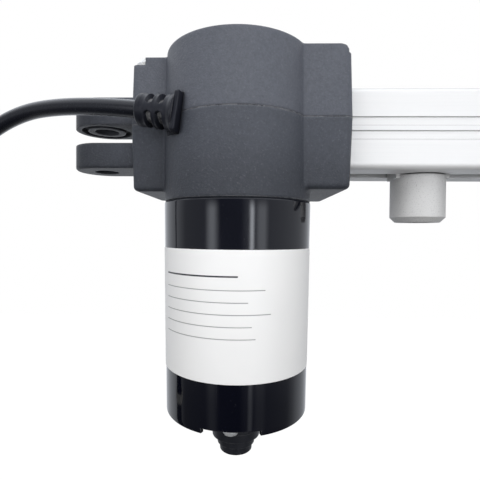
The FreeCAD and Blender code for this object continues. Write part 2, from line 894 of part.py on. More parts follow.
# the two shallow grooves of each side face, top to bottom
LINES = (3.8, 1.0, -0.5, -3.3)
rail = new_body("rail")
profile = new_sketch(rail, "YZ_Plane", S.rail_in)
right_side = [(half, -S.rail_low)]
for low, top in ((LINES[3], LINES[2]), (LINES[1], LINES[0])):
    right_side += [(half, low), (notched, low), (notched, top), (half, top)]
right_side.append((half, S.rail_high))
left_side = [(-y, z) for y, z in reversed(right_side)]
polygon(
    profile,
    [
        (S.slot_wide / 2, -S.rail_low),
        *right_side,
        *left_side,
        (-S.slot_wide / 2, -S.rail_low),
        (-S.slot_wide / 2, -S.rail_low + S.rail_wall),
        (-inside, -S.rail_low + S.rail_wall),
        (-inside, S.rail_high - S.rail_wall),
        (inside, S.rail_high - S.rail_wall),
        (inside, -S.rail_low + S.rail_wall),
        (S.slot_wide / 2, -S.rail_low + S.rail_wall),
    ],
)
pad(rail, profile, S.rail_end - S.rail_in)
round_edges(
    rail,
    1.9,
    lambda e: e.BoundBox.XLength > 50
    and abs(abs(e.BoundBox.YMin) - half.value) < 1e-3
    and (
        abs(e.BoundBox.ZMin + S.rail_low.value) < 1e-3
        or abs(e.BoundBox.ZMin - S.rail_high.value) < 1e-3
    ),
)
finish(rail, "rail")

cap = new_body("rail_end_cap")
plate = new_sketch(cap, "YZ_Plane", S.rail_end)
polygon(
    plate,
    (
        (-half, -S.rail_low),
        (half, -S.rail_low),
        (half, S.rail_high),
        (-half, S.rail_high),
    ),
)
pad(cap, plate, S.cap_thick)
round_edges(
    cap,
    1.9,
    lambda e: e.BoundBox.XLength > 3,
)
round_edges(
    cap,
    1.0,
    lambda e: e.BoundBox.XLength < 1e-4
    and abs(e.BoundBox.XMin - (S.rail_end + S.cap_thick).value) < 1e-3,
)
plug = new_sketch(cap, "YZ_Plane", S.rail_end)
polygon(
    plug,
    (
        (-inside + 0.15, -S.rail_low + S.rail_wall + 0.15),
        (inside - 0.15, -S.rail_low + S.rail_wall + 0.15),
        (inside - 0.15, S.rail_high - S.rail_wall - 0.15),
        (-inside + 0.15, S.rail_high - S.rail_wall - 0.15),
    ),
)
pad(cap, plug, 8.8, back=True)
seat = new_sketch(cap, "YZ_Plane", S.rail_end)
circle(seat, 0, 0, 6.02)
pocket(cap, seat, 9.5, ahead=False)
side = new_sketch(cap, "XZ_Plane", -20)
circle(side, S.rail_end - 4.5, 0, 1.5)
pocket(cap, side, 40)
finish(cap, "rail_end_cap")
end_bush = revolve(
    "screw_front_bush",
    (
        (3.55, S.rail_end - 8.7),
        (6.0, S.rail_end - 8.7),
        (6.0, S.rail_end - 0.4),
        (3.55, S.rail_end - 0.4),
    ),
)
on_screw(end_bush, "screw_front_bush")

for k, face in enumerate((-1, 1), 1):
    turn = Rotation(Vector(1, 0, 0), 90 if face < 0 else -90)  # own Z points outwards
    screw = revolve(
        f"cap_screw_{k}",
        (
            (0, half - 5.0),
            (1.4, half - 5.0),
            (1.4, half),
            (2.6, half),
            (2.6, half + 0.9),
            (1.8, half + 1.5),
            (0, half + 1.5),
        ),
    )
    put(screw, S.rail_end - 4.5, 0, 0, turn)
    finish(screw, f"cap_screw_{k}")

# the rail's wall is drilled for the two screws
drill = new_sketch(rail, "XZ_Plane", -20)
circle(drill, S.rail_end - 4.5, 0, 1.5)
pocket(rail, drill, 40)

# limit switches on a strip of circuit board at the back of the rail
board = prism(
    "switch_board",
    S.rail_in + 12, inside - 1.6, -7, S.rail_end - S.rail_in - 22, 1.6, 14,
)
finish(board, "switch_board")
for k, x in enumerate((S.rail_in + 14, S.rail_end - 19), 1):
    shell = new_body(f"limit_switch_{k}")
    case = new_sketch(shell, "XY_Plane", -3.4)
    polygon(case, ((x, inside - 4.3), (x + 8.2, inside - 4.3), (x + 8.2, inside - 1.6), (x, inside - 1.6)))
    pad(shell, case, 5.6)
    button = new_sketch(shell, "XY_Plane", 2.2)
    polygon(
        button,
        (
            (x + 2.2, inside - 3.6),
            (x + 3.8, inside - 3.6),
            (x + 3.8, inside - 2.3),
            (x + 2.2, inside - 2.3),
        ),
    )
    pad(shell, button, 0.9)
    finish(shell, f"limit_switch_{k}")

# ---------------------------------------------------------------- slider

x0, x1 = S.slide_x - S.block_long / 2, S.slide_x + S.block_long / 2
block_back = inside - 4.3 - 0.45  # clears the limit switches
block_front = inside - 1.35
block_low = S.rail_low - S.rail_wall - S.play
block_high = S.rail_high - S.rail_wall - S.play
slider = new_body("slider_block")
outline = new_sketch(slider, "YZ_Plane", x0)
polygon(
    outline,
    (
        (-block_front, -block_low),
        (block_back, -block_low),
        (block_back, block_high),
        (-block_front, block_high),
    ),
)
pad(slider, outline, S.block_long)
neck = new_sketch(slider, "XY_Plane", -S.rail_low - S.play - 1)
neck_half = S.slot_wide / 2 - S.play
polygon(
    neck,
    (
        (S.slide_x - S.boss_rad, -neck_half),
        (S.slide_x + S.boss_rad, -neck_half),
        (S.slide_x + S.boss_rad, neck_half),
        (S.slide_x - S.boss_rad, neck_half),
    ),
)
pad(slider, neck, S.rail_wall + S.play * 2 + 2)
boss = new_sketch(slider, "XY_Plane", -S.boss_low)
circle(boss, S.slide_x, 0, S.boss_rad)
pad(slider, boss, S.boss_low - S.rail_low - S.play)
low_rim = -S.boss_low.value
round_edges(
    slider,
    1.7,
    lambda e: e.BoundBox.ZLength < 1e-4 and abs(e.BoundBox.ZMin - low_rim) < 1e-3,
    kind="Chamfer",
)
bore = new_sketch(slider, "XY_Plane", -S.boss_low)
circle(bore, S.slide_x, 0, S.boss_bore_d / 2)
pocket(slider, bore, S.boss_bore_deep)
mouth = S.boss_bore_d.value / 2
round_edges(
    slider,
    0.7,
    lambda e: e.BoundBox.ZLength < 1e-4
    and abs(e.BoundBox.ZMin - low_rim) < 1e-3
    and e.BoundBox.XLength < 2 * mouth + 0.1,
    kind="Chamfer",
)
nut_bore = new_sketch(slider, "YZ_Plane", x0 - 1)
circle(nut_bore, 0, 0, S.nut_rad + 0.02)
pocket(slider, nut_bore, S.block_long + 2)
grub = new_sketch(slider, "XY_Plane", S.nut_rad - 2)
circle(grub, S.slide_x, 0, 1.62)
pocket(slider, grub, 8)
finish(slider, "slider_block")

nut = revolve(
    "drive_nut",
    (
        (S.screw_rad + 0.06, -S.block_long / 2 + 0.5),
        (S.nut_rad, -S.block_long / 2 + 0.5),
        (S.nut_rad, S.block_long / 2 - 0.5),
        (S.screw_rad + 0.06, S.block_long / 2 - 0.5),
    ),
)
on_screw(nut, "drive_nut", S.slide_x)
pin = cylinder("nut_pin", S.slide_x, 0, S.nut_rad + 0.05, 1.6, block_high - S.nut_rad - 0.3)
finish(pin, "nut_pin")
shoe = new_body("guide_shoe")
foot = new_sketch(shoe, "XY_Plane", -block_low + 0.8)
polygon(
    foot,
    (
        (x0 + 0.6, -inside + 0.2),
        (x1 - 0.6, -inside + 0.2),
        (x1 - 0.6, -block_front),
        (x0 + 0.6, -block_front),
    ),
)
pad(shoe, foot, block_low + block_high - 1.6)
finish(shoe, "guide_shoe")

# ---------------------------------------------------------------- strain relief and lead

relief = new_body("strain_relief")


def across(role_at):
    """A sketch across the relief's own X axis."""
    return new_sketch(relief, "YZ_Plane", role_at)


def slab(at, length, low, high, tall):
    sketch = across(at)
    half_tall = tall / 2
    polygon(
        sketch,
        ((low, -half_tall), (high, -half_tall), (high, half_tall), (low, half_tall)),
    )
    pad(relief, sketch, length)


slab(-5.0, 5.0, -3.8, 0.3, 7.6)
slab(0, 1.6, -4.2, 4.2, 11.0)
RIBS = ((1.6, 2.5, 5.3), (4.1, 3.2, 4.75), (7.3, 4.0, 4.6), (11.3, 1.6, 4.4))
for at, length, radius in RIBS:
    sketch = across(at)
    circle(sketch, 0, 0, radius)
    pad(relief, sketch, length)
# slots that let it bend: pairs in the top and bottom, then pairs in the sides
for at, wide in ((4.2, 1.7), (7.4, 1.8)):
    for sign in (1, -1):
        sketch = across(at)
        polygon(
            sketch,
            ((-5.5, sign * 2.9), (5.5, sign * 2.9), (5.5, sign * 5.5), (-5.5, sign * 5.5)),
        )
        pocket(relief, sketch, wide)
relief.Placement = Placement(GLAND, GLAND_TURN)
bind(relief, "Placement.Base.x", GLAND_X)
bind(relief, "Placement.Base.y", GLAND_Y)
bind(relief, "Placement.Base.z", -S.gland_low)
finish(relief, "strain_relief")

# The lead leaves the relief, droops beyond the left of the object and hangs down into a
# tied hank. Its route is straight runs joined by tangent arcs.
exit_point = GLAND + GLAND_TURN.multVec(Vector(13.05, 0, 0))
STEPS = (
    GLAND_TURN.multVec(Vector(20.3, 0, 0)) + Vector(0, 0.3, 0),
    Vector(-28.0, 10.9, 0.1),
    Vector(-24.5, 6.0, -16.5),
    Vector(-6.5, 1.5, -29.4),
    Vector(0, 0, -27.0),
)
route = [exit_point]
for step in STEPS:
    route.append(route[-1] + step)


def tube_path(points):
    """Edges along the points, each corner an arc as large as its two runs allow."""
    edges, at, radii = [], points[0], []
    for a, b, c in zip(points, points[1:], points[2:]):
        into, out = (b - a).normalize(), (c - b).normalize()
        turn = into.getAngle(out)
        back = 0.45 * min((b - a).Length, (c - b).Length)
        radius = back / math.tan(turn / 2)
        start, end = b - into * back, b + out * back
        middle = b + (out - into).normalize() * (radius / math.cos(turn / 2) - radius)
        edges += [Part.LineSegment(at, start).toShape(), Part.Arc(start, middle, end).toShape()]
        at = end
        radii.append(round(radius, 1))
    edges.append(Part.LineSegment(at, points[-1]).toShape())
    return edges, radii


edges, radii = tube_path(route)
wire = Part.Wire(edges)
print("lead arcs, radii", radii, "route length", round(wire.Length, 1))
print("lead route, mm", [tuple(round(v, 2) for v in p) for p in route])
section = Part.Wire(
    [Part.Circle(route[0], STEPS[0], S.lead_d.value / 2).toShape()]
)
swept = wire.makePipeShell([section], True, False)
volume = math.pi * (S.lead_d.value / 2) ** 2 * wire.Length
print("lead volume", round(swept.Volume, 1), "section times length", round(volume, 1))
lead = doc.addObject("Part::Feature", "lead_tube")
lead.Shape = swept
finish(lead, "lead_tube")

# The rest of the lead is a hank of folded runs, pulled together at its waist by a tie. Its
# layers stand in front of the run that enters it.
end = route[-1]
hank_back = end.y + S.lead_d / 2
hank_mid = end.z - S.hank_long / 2
loop, waist, half_long = S.hank_wide / 2, S.hank_waist / 2, S.hank_long / 2
right = (
    (loop - 10, half_long),
    (loop - 3.8, half_long - 3.5),
    (loop - 0.1, half_long - 11),
    (loop, half_long - 20),
    (loop - 2.8, half_long - 28),
    (waist + 1.0, S.tie_tall / 2 + 4.5),
    (waist, S.tie_tall / 2 + 1),
)
right += tuple((x, -z) for x, z in right[::-1])
hank = new_body("lead_hank")
outline = new_sketch(hank, "XZ_Plane", -hank_back)
polygon(
    outline,
    [(end.x + x, hank_mid + z) for x, z in right]
    + [(end.x - x, hank_mid + z) for x, z in right[::-1]],
)
pad(hank, outline, S.hank_thick)
finish(hank, "lead_hank")

band = prism(
    "TieOuter",
    end.x - waist - 1.2,
    hank_back - S.hank_thick - 1.2,
    hank_mid - S.tie_tall / 2,
    S.hank_waist + 2.4,
    S.hank_thick + 2.4,
    S.tie_tall,
)
hole = prism(
    "TieInner",
    end.x - waist - 0.1,
    hank_back - S.hank_thick - 0.1,
    hank_mid - S.tie_tall / 2 - 1,
    S.hank_waist + 0.2,
    S.hank_thick + 0.2,
    S.tie_tall + 2,
)
finish(cut("lead_tie", band, hole), "lead_tie")

# the plug hangs from the hank's front layer
plug_y = hank_back - S.hank_thick + S.lead_d / 2
plug_top = end.z - S.hank_long - 6.05
connector = new_body("lead_plug")
shell = new_sketch(connector, "XY_Plane", 0)
polygon(shell, ((-6.5, -4.2), (6.5, -4.2), (6.5, 4.2), (-6.5, 4.2)))
pad(connector, shell, 17, back=True)
collar = new_sketch(connector, "XY_Plane", 0)
circle(collar, 0, 0, 3.6)
pad(connector, collar, 6)
round_edges(connector, 1.0, lambda e: e.BoundBox.ZLength > 10 and e.BoundBox.XLength < 0.1)
sockets = new_sketch(connector, "XY_Plane", -17)
for x in (-3.1, 3.1):
    circle(sockets, x, 0, 1.9)
pocket(connector, sockets, 9)
put(connector, end.x, plug_y, plug_top)
finish(connector, "lead_plug")
for k, x in enumerate((-3.1, 3.1), 1):
    contact = cylinder(f"plug_contact_{k}", end.x + x, plug_y, plug_top - 15.5, 0.9, 7.5)
    finish(contact, f"plug_contact_{k}")

# ---------------------------------------------------------------- check and write

doc.recompute()
for obj in doc.Objects:
    bad = [state for state in obj.State if state in ("Invalid", "Error")]
    if bad:
        raise RuntimeError(f"{obj.Name} ({obj.Label}): {obj.State}")
os.makedirs("parts", exist_ok=True)
for obj in PARTS:
    shape = obj.Shape
    if shape.isNull() or not shape.isValid():
        raise RuntimeError(f"{obj.Label} has no valid shape")
    if len(shape.Solids) != 1:
        raise RuntimeError(f"{obj.Label} has {len(shape.Solids)} solids")
    shape.exportStep(f"parts/{obj.Label}.step")
    b = shape.BoundBox
    print(
        f"{obj.Label:20s} {shape.Volume / 1000:8.2f} cm3  x {b.XMin:7.2f} {b.XMax:7.2f}"
        f"  y {b.YMin:7.2f} {b.YMax:7.2f}  z {b.ZMin:7.2f} {b.ZMax:7.2f}"
    )
print(len(PARTS), "sub-parts")
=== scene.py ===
# %% [markdown]
# # A rail actuator from a reclining chair
# A small motor hangs under a two-part gearbox and drives a slider along an aluminium rail.
# The CAD model already holds every solid at its real size. This file dresses it: it sets the
# camera and the lights, lays the lead, gives each piece its finish, and builds anew the few
# pieces whose look needs a finer mesh than the CAD solid has. What it makes goes into the
# scene by one small helper.

import json
from math import asin, copysign, cos, pi, radians, sin, sqrt

import bmesh
import bpy
from mathutils import Matrix, Vector


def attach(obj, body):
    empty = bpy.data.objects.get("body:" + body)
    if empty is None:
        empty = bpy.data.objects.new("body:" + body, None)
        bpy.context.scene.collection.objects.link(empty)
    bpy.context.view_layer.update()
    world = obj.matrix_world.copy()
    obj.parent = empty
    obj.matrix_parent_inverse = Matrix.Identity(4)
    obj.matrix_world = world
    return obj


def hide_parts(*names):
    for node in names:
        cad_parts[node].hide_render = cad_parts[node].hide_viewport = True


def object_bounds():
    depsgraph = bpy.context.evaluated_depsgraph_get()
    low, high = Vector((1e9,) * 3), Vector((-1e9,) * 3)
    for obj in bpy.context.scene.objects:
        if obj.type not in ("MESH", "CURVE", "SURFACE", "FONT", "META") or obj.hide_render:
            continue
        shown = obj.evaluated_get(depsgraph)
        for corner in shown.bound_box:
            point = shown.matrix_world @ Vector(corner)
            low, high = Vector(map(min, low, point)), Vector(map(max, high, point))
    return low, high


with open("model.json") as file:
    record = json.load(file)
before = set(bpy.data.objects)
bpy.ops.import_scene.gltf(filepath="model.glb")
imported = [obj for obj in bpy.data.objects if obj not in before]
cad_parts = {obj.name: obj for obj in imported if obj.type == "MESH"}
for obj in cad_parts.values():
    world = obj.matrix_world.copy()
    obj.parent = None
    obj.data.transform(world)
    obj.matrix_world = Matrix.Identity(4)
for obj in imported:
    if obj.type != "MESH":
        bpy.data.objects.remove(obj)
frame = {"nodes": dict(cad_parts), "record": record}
cad_box = [list(corner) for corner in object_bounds()]
MM = 0.001


def add(name, data):
    """Put a new object into the scene."""
    made = bpy.data.objects.new(name, data)
    bpy.context.scene.collection.objects.link(made)
    return made


print("CAD box, mm:", [[round(c / MM, 1) for c in corner] for corner in cad_box])

# %% [markdown]
# ## Camera
# The picture was taken from straight in front, a little below the gearbox, from so close that
# the top of the rail is hidden and its underside shows. The lens and the place come from the
# ellipses of the motor's rims: their openings give the distance, their level the height.
# What it sees begins 5 mm in front of it, since it stands so close.

# %% Camera
camera = add("Camera", bpy.data.cameras.new("Camera"))
camera.data.sensor_width = 36.0
camera.data.lens = 29.254
camera.location = (51.03 * MM, -138.72 * MM, -33.1 * MM)
camera.rotation_euler = [radians(a) for a in (89.016, -0.441, 1.408)]
camera.data.clip_start = 0.005
camera.data.clip_end = 20.0
bpy.context.scene.camera = camera
print("camera", [round(c, 4) for c in camera.location], "lens", camera.data.lens)

# %% [markdown]
# ## The lead's route
# A round rubber lead bends as one smooth curve. The tube of the CAD model is straight runs and
# arcs, so here the same route points become the control points of one spline, which rounds
# every bend by itself: out of the strain relief, a droop past the picture's edge, then down.

# %% Route points
LEAD_D = 5.0 * MM
DROP = [
    (19.81, -28.40, 1.65),
    (0.30, -23.60, 5.00),
    (-27.70, -12.70, 5.10),
    (-52.20, -6.70, -11.40),
    (-58.70, -5.20, -40.80),
    (-58.70, -5.20, -67.80),
]
x0, y0, z0 = DROP[-1]
print("the lead hangs down at x, y:", x0, y0)

# %% [markdown]
# The rest of the lead is put away for storage, folded into a hank that a tie pulls together at
# its waist. A hank is the same lead going on, so its turns are more points of the same spline:
# run, end loop, run, end loop, and each turn lies one diameter in front of the one before.

# %% Runs and end loops
MIDDLE = z0 - 50.0  # the tie's height
REACH = 47.4  # from the tie to the top of an end loop
ARCH = 15.4  # radius of an end loop
WAIST = 2.6  # half the distance between the runs at the tie
LAYER = 5.1  # from one turn to the next
FIRST = 1.3  # how far the first turn stands in front of the run that enters


def run(side, depth, down=True):
    """From one end loop through the waist to the other, right (+1) or left (-1)."""
    shape = [(ARCH, 26.0), (WAIST, 5.0), (WAIST, -5.0), (ARCH, -26.0)]
    sign = 1 if down else -1
    return [(x0 + side * w, y0 - depth, MIDDLE + sign * z) for w, z in shape]


def end_loop(side, depth, top):
    """Round an end loop, from the given side to the other, and half a layer forwards."""
    up, points = (1 if top else -1), []
    for k in range(5):
        angle = radians(18 + 36 * k)
        across = side * ARCH * 1.0515 * cos(angle)
        height = REACH - ARCH + ARCH * 1.0515 * sin(angle)
        forward = depth + LAYER / 2 * (k + 0.5) / 5
        points.append((x0 + across, y0 - forward, MIDDLE + up * height))
    return points


print("points in a run and in an end loop:", len(run(1, 0)), len(end_loop(1, 0, True)))

# %% Turns of the hank
hank = [(x0 + 0.3, y0, z0 - 14.0), (x0 + 1.9, y0 - 0.6, z0 - 32.0)]
hank += run(1, FIRST)[1:]
depth = FIRST
for turn in range(3):
    hank += end_loop(1, depth, top=False)
    hank += run(-1, depth + LAYER / 2, down=False)
    hank += end_loop(-1, depth + LAYER / 2, top=True)
    depth += LAYER
    hank += run(1, depth) if turn < 2 else run(1, depth)[:3]
hank += [
    (x0 + 1.9, y0 - depth - 0.6, z0 - 68.0),
    (x0 + 0.3, y0 - depth - 1.4, z0 - 86.0),
    (x0, y0 - depth - 1.4, z0 - 100.0),
]
print("control points:", len(DROP + hank), "front layer in front of the first, mm:", depth)

# %% [markdown]
# The route and the turns go into a single NURBS spline of order 3, so that the lead is as
# smooth where it enters the hank as anywhere. The order is set after the points: set before
# them, it falls back to straight runs. Each point carries the lead's radius, which multiplies
# the bevel, so that the curve's box is as large as the lead and no larger. The centre line is
# read from the spline itself, with the bevel off.

# %% The lead as one curve


def cord_curve(name, points, diameter):
    """A round cord along a quadratic NURBS spline; each point carries the cord's radius."""
    data = bpy.data.curves.new(name, "CURVE")
    data.dimensions = "3D"
    line = data.splines.new("NURBS")
    line.points.add(len(points) - 1)
    for place, p in zip(line.points, points):
        place.co = (p[0] * MM, p[1] * MM, p[2] * MM, 1.0)
        place.radius = diameter / 2
    line.order_u = 3
    line.use_endpoint_u = True
    line.resolution_u = 14
    data.bevel_depth = 1.0
    data.bevel_resolution = 8
    data.use_fill_caps = True
    return add(name, data)


def centre_line(cord):
    """The points of a cord's own line, read from its curve without the bevel."""
    depth, cord.data.bevel_depth = cord.data.bevel_depth, 0.0
    mesh = bpy.data.meshes.new_from_object(cord)
    cord.data.bevel_depth = depth
    points = [v.co.copy() for v in mesh.vertices]
    bpy.data.meshes.remove(mesh)
    return points


lead = cord_curve("lead", DROP + hank, LEAD_D)
line = centre_line(lead)
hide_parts("lead_tube", "lead_hank")
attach(lead, "base")

# %% [markdown]
# ## Shader arithmetic
# A finish is a small network of nodes. Written as Python expressions it reads like the recipe
# that it is: `1 - mask * 0.5` adds its own Math nodes, and the same signs on a vector or a
# colour add Vector Math, because a Math node would turn a colour grey.

# %% Wire: an output that arithmetic works on


class Wire:
    """One output of a node. Arithmetic on it adds the nodes that work it out."""

    def __init__(self, graph, socket):
        self.graph, self.socket = graph, socket

    def _sum(self, operation, *terms):
        wide = any(isinstance(t, Wire) and t.socket.type in ("VECTOR", "RGBA") for t in terms)
        return self.graph.maths("Vector" if wide else "", operation, *terms)

    def __add__(self, other):
        return self._sum("ADD", self, other)

    def __sub__(self, other):
        return self._sum("SUBTRACT", self, other)

    def __mul__(self, other):
        return self._sum("MULTIPLY", self, other)

    def __abs__(self):
        return self._sum("ABSOLUTE", self)

    def __rsub__(self, other):
        return self._sum("SUBTRACT", other, self)

    # A sum and a product are the same both ways round.
    __radd__, __rmul__ = __add__, __mul__

    def part(self, name):
        """Another output of the same node."""
        return Wire(self.graph, self.socket.node.outputs[name])


print("operators on a wire:", [n for n in vars(Wire) if n.startswith("__")][2:])

# %% [markdown]
# A second class holds one node tree. Its `node` method makes any node: the settings come first,
# because they decide which sockets there are, and then numbers or wires go into the sockets.
# The other methods are recipes that the finishes share: noise patches of a real size, soft
# steps and bands, worn edges, corners for painted shade, the bump, and the closing shader.

# %% Graph: the nodes of one finish


class Graph:
    """The node tree of a finish, with the few helpers that the finishes share."""

    def __init__(self, name, tree, coordinates="Object"):
        self.name, self.tree = name, tree
        tree.nodes.clear()
        self.place = self.node("ShaderNodeTexCoord", out=coordinates)
        xyz = self.node("ShaderNodeSeparateXYZ", sockets={0: self.place})
        self.x, self.y, self.z = (xyz.part(axis) for axis in "XYZ")

    def node(self, kind, settings=None, sockets=None, out=0):
        """Add a node: its settings first, then its sockets' numbers or wires."""
        made = self.tree.nodes.new(kind)
        for name, value in (settings or {}).items():
            if name == "stops":
                ramp = made.color_ramp.elements
                while len(ramp) < len(value):
                    ramp.new(0.5)
                for stop, (at, colour) in zip(ramp, value):
                    stop.position, stop.color = at, (*colour, 1.0)
            else:
                setattr(made, name, value)
        for name, value in (sockets or {}).items():
            socket = made.inputs[name]
            if isinstance(value, Wire):
                self.tree.links.new(value.socket, socket)
            elif socket.type == "RGBA":
                socket.default_value = (*value, 1.0)
            elif socket.type == "VECTOR" and not isinstance(value, tuple):
                socket.default_value = (value, value, value)
            else:
                socket.default_value = value
        return Wire(self, made.outputs[out]) if len(made.outputs) else made

    def maths(self, kind, operation, *terms, out=0):
        """A Math node, or a Vector Math node where kind is Vector."""
        terms = dict(enumerate(terms))
        return self.node(f"ShaderNode{kind}Math", {"operation": operation}, terms, out)

    def degrees(self, operation, *terms):
        """An inverse trigonometric function, in degrees."""
        return self.maths("", operation, *terms) * (180 / pi)

    def patches(self, size, detail=2.0, stretch=(1, 1, 1), rough=0.5):
        """Random patches about size millimetres across, 0 to 1, longer where stretched."""
        scaled = self.place * tuple(1 / (size * MM * s) for s in stretch)
        sockets = {"Vector": scaled, "Scale": 1.0, "Detail": detail, "Roughness": rough}
        return self.node("ShaderNodeTexNoise", {}, sockets, "Fac")

    @staticmethod
    def waves_of(size):
        """The scale that gives a Wave texture one band every size millimetres or so."""
        return 1 / (size * MM) / 20

    def step(self, value, low, high):
        """0 below low, 1 above high, smooth between."""
        sockets = {"Value": value, "From Min": low, "From Max": high}
        return self.node("ShaderNodeMapRange", {"interpolation_type": "SMOOTHSTEP"}, sockets)

    def band(self, value, centre, half, soft):
        """1 within half of centre, 0 outside, with edges soft wide."""
        return 1 - self.step(abs(value - centre), half, half + soft)

    def mix(self, share, first, second):
        """Blend two colours."""
        sockets = {0: share, 6: first, 7: second}
        settings = {"data_type": "RGBA", "clamp_factor": True}
        return self.node("ShaderNodeMix", settings, sockets, 2)

    def worn_edges(self, radius):
        """1 on the object's sharp edges, fading over radius millimetres."""
        flat = self.node("ShaderNodeNewGeometry", out="Normal")
        facing = self.maths("Vector", "DOT_PRODUCT", self.soften(radius), flat, out="Value")
        return self.step(facing, 0.995, 0.80)

    def corners(self, reach):
        """1 in the open, falling towards 0 in corners closer than reach millimetres."""
        sockets = {"Distance": reach * MM}
        return self.node("ShaderNodeAmbientOcclusion", {"samples": 6}, sockets, "AO")

    def soften(self, radius):
        """A normal that rounds sharp edges off."""
        return self.node("ShaderNodeBevel", {"samples": 4}, {"Radius": radius * MM})

    def bump(self, height, depth, rounded=None):
        """A normal that follows height, depth millimetres at 1, over rounded edges."""
        sockets = {"Height": height, "Distance": depth * MM, "Strength": 1.0}
        if rounded:
            sockets["Normal"] = self.soften(rounded)
        return self.node("ShaderNodeBump", {}, sockets)

    def surface(self, colour, roughness, normal, metallic=0.0, specular=0.5):
        """Close the tree with one Principled shader, and print how many nodes it has."""
        sockets = {"Base Color": colour, "Roughness": roughness, "Normal": normal}
        sockets |= {"Metallic": metallic, "Specular IOR Level": specular}
        shader = self.node("ShaderNodeBsdfPrincipled", {}, sockets)
        self.node("ShaderNodeOutputMaterial", {}, {"Surface": shader})
        print(self.name, "nodes:", len(self.tree.nodes))


FINISHES = {}


def finish(name):
    """Start the finish of a material slot."""
    material = bpy.data.materials.new(name)
    material.use_nodes = True
    FINISHES[name] = material
    return Graph(name, material.node_tree)


print("helpers on a graph:", [n for n in vars(Graph) if not n.startswith("_")])

# %% [markdown]
# ## Backdrop
# The object was photographed on a white sweep. What the camera sees of the room is plain white,
# while the light that falls on the object is kept lower, so that pale metal doesn't burn out.
# Glossy plastic mirrors the room: dark where the photographer stood, paler at the sides, white
# behind, dim near the ground, with a pale ceiling and three upright strips of light that draw
# the streaks on the black cover.
#
# Directions are angles: azimuth from straight in front (-Y), to the right positive, and
# elevation above the horizon.

# %% Directions in the room
world = bpy.data.worlds.new("Studio")
bpy.context.scene.world = world
world.use_nodes = True
room = Graph("room", world.node_tree, "Generated")
azimuth = room.degrees("ARCTAN2", room.x, room.y * -1)
elevation = room.degrees("ARCSINE", room.z)
print("nodes for azimuth and elevation:", len(world.node_tree.nodes))

# %% [markdown]
# The room that glossy surfaces mirror is worked out from those two angles. The walls come from
# a colour ramp over the azimuth, dimmed towards the ground, and each strip of light is a soft
# band with its own level. The strips end a little above the horizon, so that the rail doesn't
# catch them.

# %% Walls, strips and ceiling
BRIGHTEST = 8


def shades(value, low, high, stops):
    """Grey levels over a range of angles. A ramp holds 0 to 1, so they go in divided by 8."""
    places = [((at - low) / (high - low), (level / BRIGHTEST,) * 3) for at, level in stops]
    sockets = {"Value": value, "From Min": low, "From Max": high}
    share = room.node("ShaderNodeMapRange", {}, sockets)
    return room.node("ShaderNodeValToRGB", {"stops": places}, {0: share}) * BRIGHTEST


# How bright the walls are, by azimuth.
sides = [(-180, 1.0), (-122, 0.95), (-98, 0.78), (-84, 0.42), (-46, 0.40), (-27, 0.13)]
sides += [(7, 0.13), (15, 0.45), (52, 0.60), (84, 0.72), (112, 0.70), (180, 0.95)]
around = shades(azimuth, -180, 180, sides)
behind = room.step(abs(azimuth), 85, 118)
lower = room.step(elevation, -26, -6)
around = around * (behind + (1 - behind) * (lower * 0.72 + 0.28))
around = around * (0.16 + room.step(elevation, -58, -14) * 0.84)
# The strips of light: azimuth, half width, soft edge, level.
STRIPS = [(-36, 1, 12, 2.3), (23.3, 0.6, 4.5, 6.2), (39, 3, 9, 1.5)]
streaks = 0.0
for centre, half, soft, level in STRIPS:
    streaks = room.band(azimuth, centre, half, soft) * level + streaks
streaks = streaks * (lower * 0.92 + 0.08) * (1 - room.step(elevation, 4, 16))
ceiling = room.step(elevation, 18, 44) * 0.70
cool = (0.95, 0.99, 1.06)
mirrored = (around + streaks + ceiling) * cool
print("nodes of the mirrored room:", len(world.node_tree.nodes))

# %% [markdown]
# Matt surfaces get a plain light that only falls off towards the ground. Light Path then picks:
# a glossy ray sees the mirrored room, a diffuse ray the plain light, and a camera ray or one
# that passes through something clear sees white.

# %% Which ray sees what
lit = shades(elevation, -90, 90, [(-90, 0.05), (-20, 0.16), (10, 0.34), (60, 0.60)])
path = room.node("ShaderNodeLightPath", out="Is Camera Ray")
WHITE = (1.0, 1.0, 1.0)
seen = room.mix(path.part("Is Glossy Ray"), lit, mirrored)
seen = room.mix(path + path.part("Is Transmission Ray"), seen, WHITE)
background = room.node("ShaderNodeBackground", {}, {"Color": seen, "Strength": 1.0})
room.node("ShaderNodeOutputWorld", {}, {"Surface": background})
bpy.context.scene.view_settings.view_transform = "Standard"
print("world nodes:", len(world.node_tree.nodes))

# %% [markdown]
# The floor is pale paper a millimetre below the lowest piece. It glows for the camera alone, so
# that it reads as white and still keeps the object's soft shadow. Glossy rays go through it, to
# the room that was made for them, and so does a camera that looks up from below.

# %% Floor
FLOOR_HALF, FLOOR_MIDDLE = 0.55, (0.08, 0.05)
GLOW = (0.88, 0.88, 0.88)
lowest = cad_box[0][2] - 1.0 * MM
mesh = bmesh.new()
bmesh.ops.create_grid(mesh, x_segments=8, y_segments=8, size=FLOOR_HALF)
data = bpy.data.meshes.new("floor")
mesh.to_mesh(data)
mesh.free()
floor = add("floor", data)
floor.location = (*FLOOR_MIDDLE, lowest)
sweep = finish("sweep")
paper = sweep.patches(900) * 0.02 + 0.26
grey = sweep.node("ShaderNodeCombineXYZ", {}, {0: paper, 1: paper, 2: paper})
matte = sweep.node("ShaderNodeBsdfDiffuse", {}, {"Color": grey})
path = sweep.node("ShaderNodeLightPath", out="Is Camera Ray")
seen = sweep.mix(path, (0.0, 0.0, 0.0), GLOW)
glow = sweep.node("ShaderNodeEmission", {}, {"Color": seen, "Strength": 1.0})
both = sweep.node("ShaderNodeAddShader", {}, {0: matte, 1: glow})
clear = sweep.node("ShaderNodeBsdfTransparent")
below = sweep.node("ShaderNodeNewGeometry", out="Backfacing")
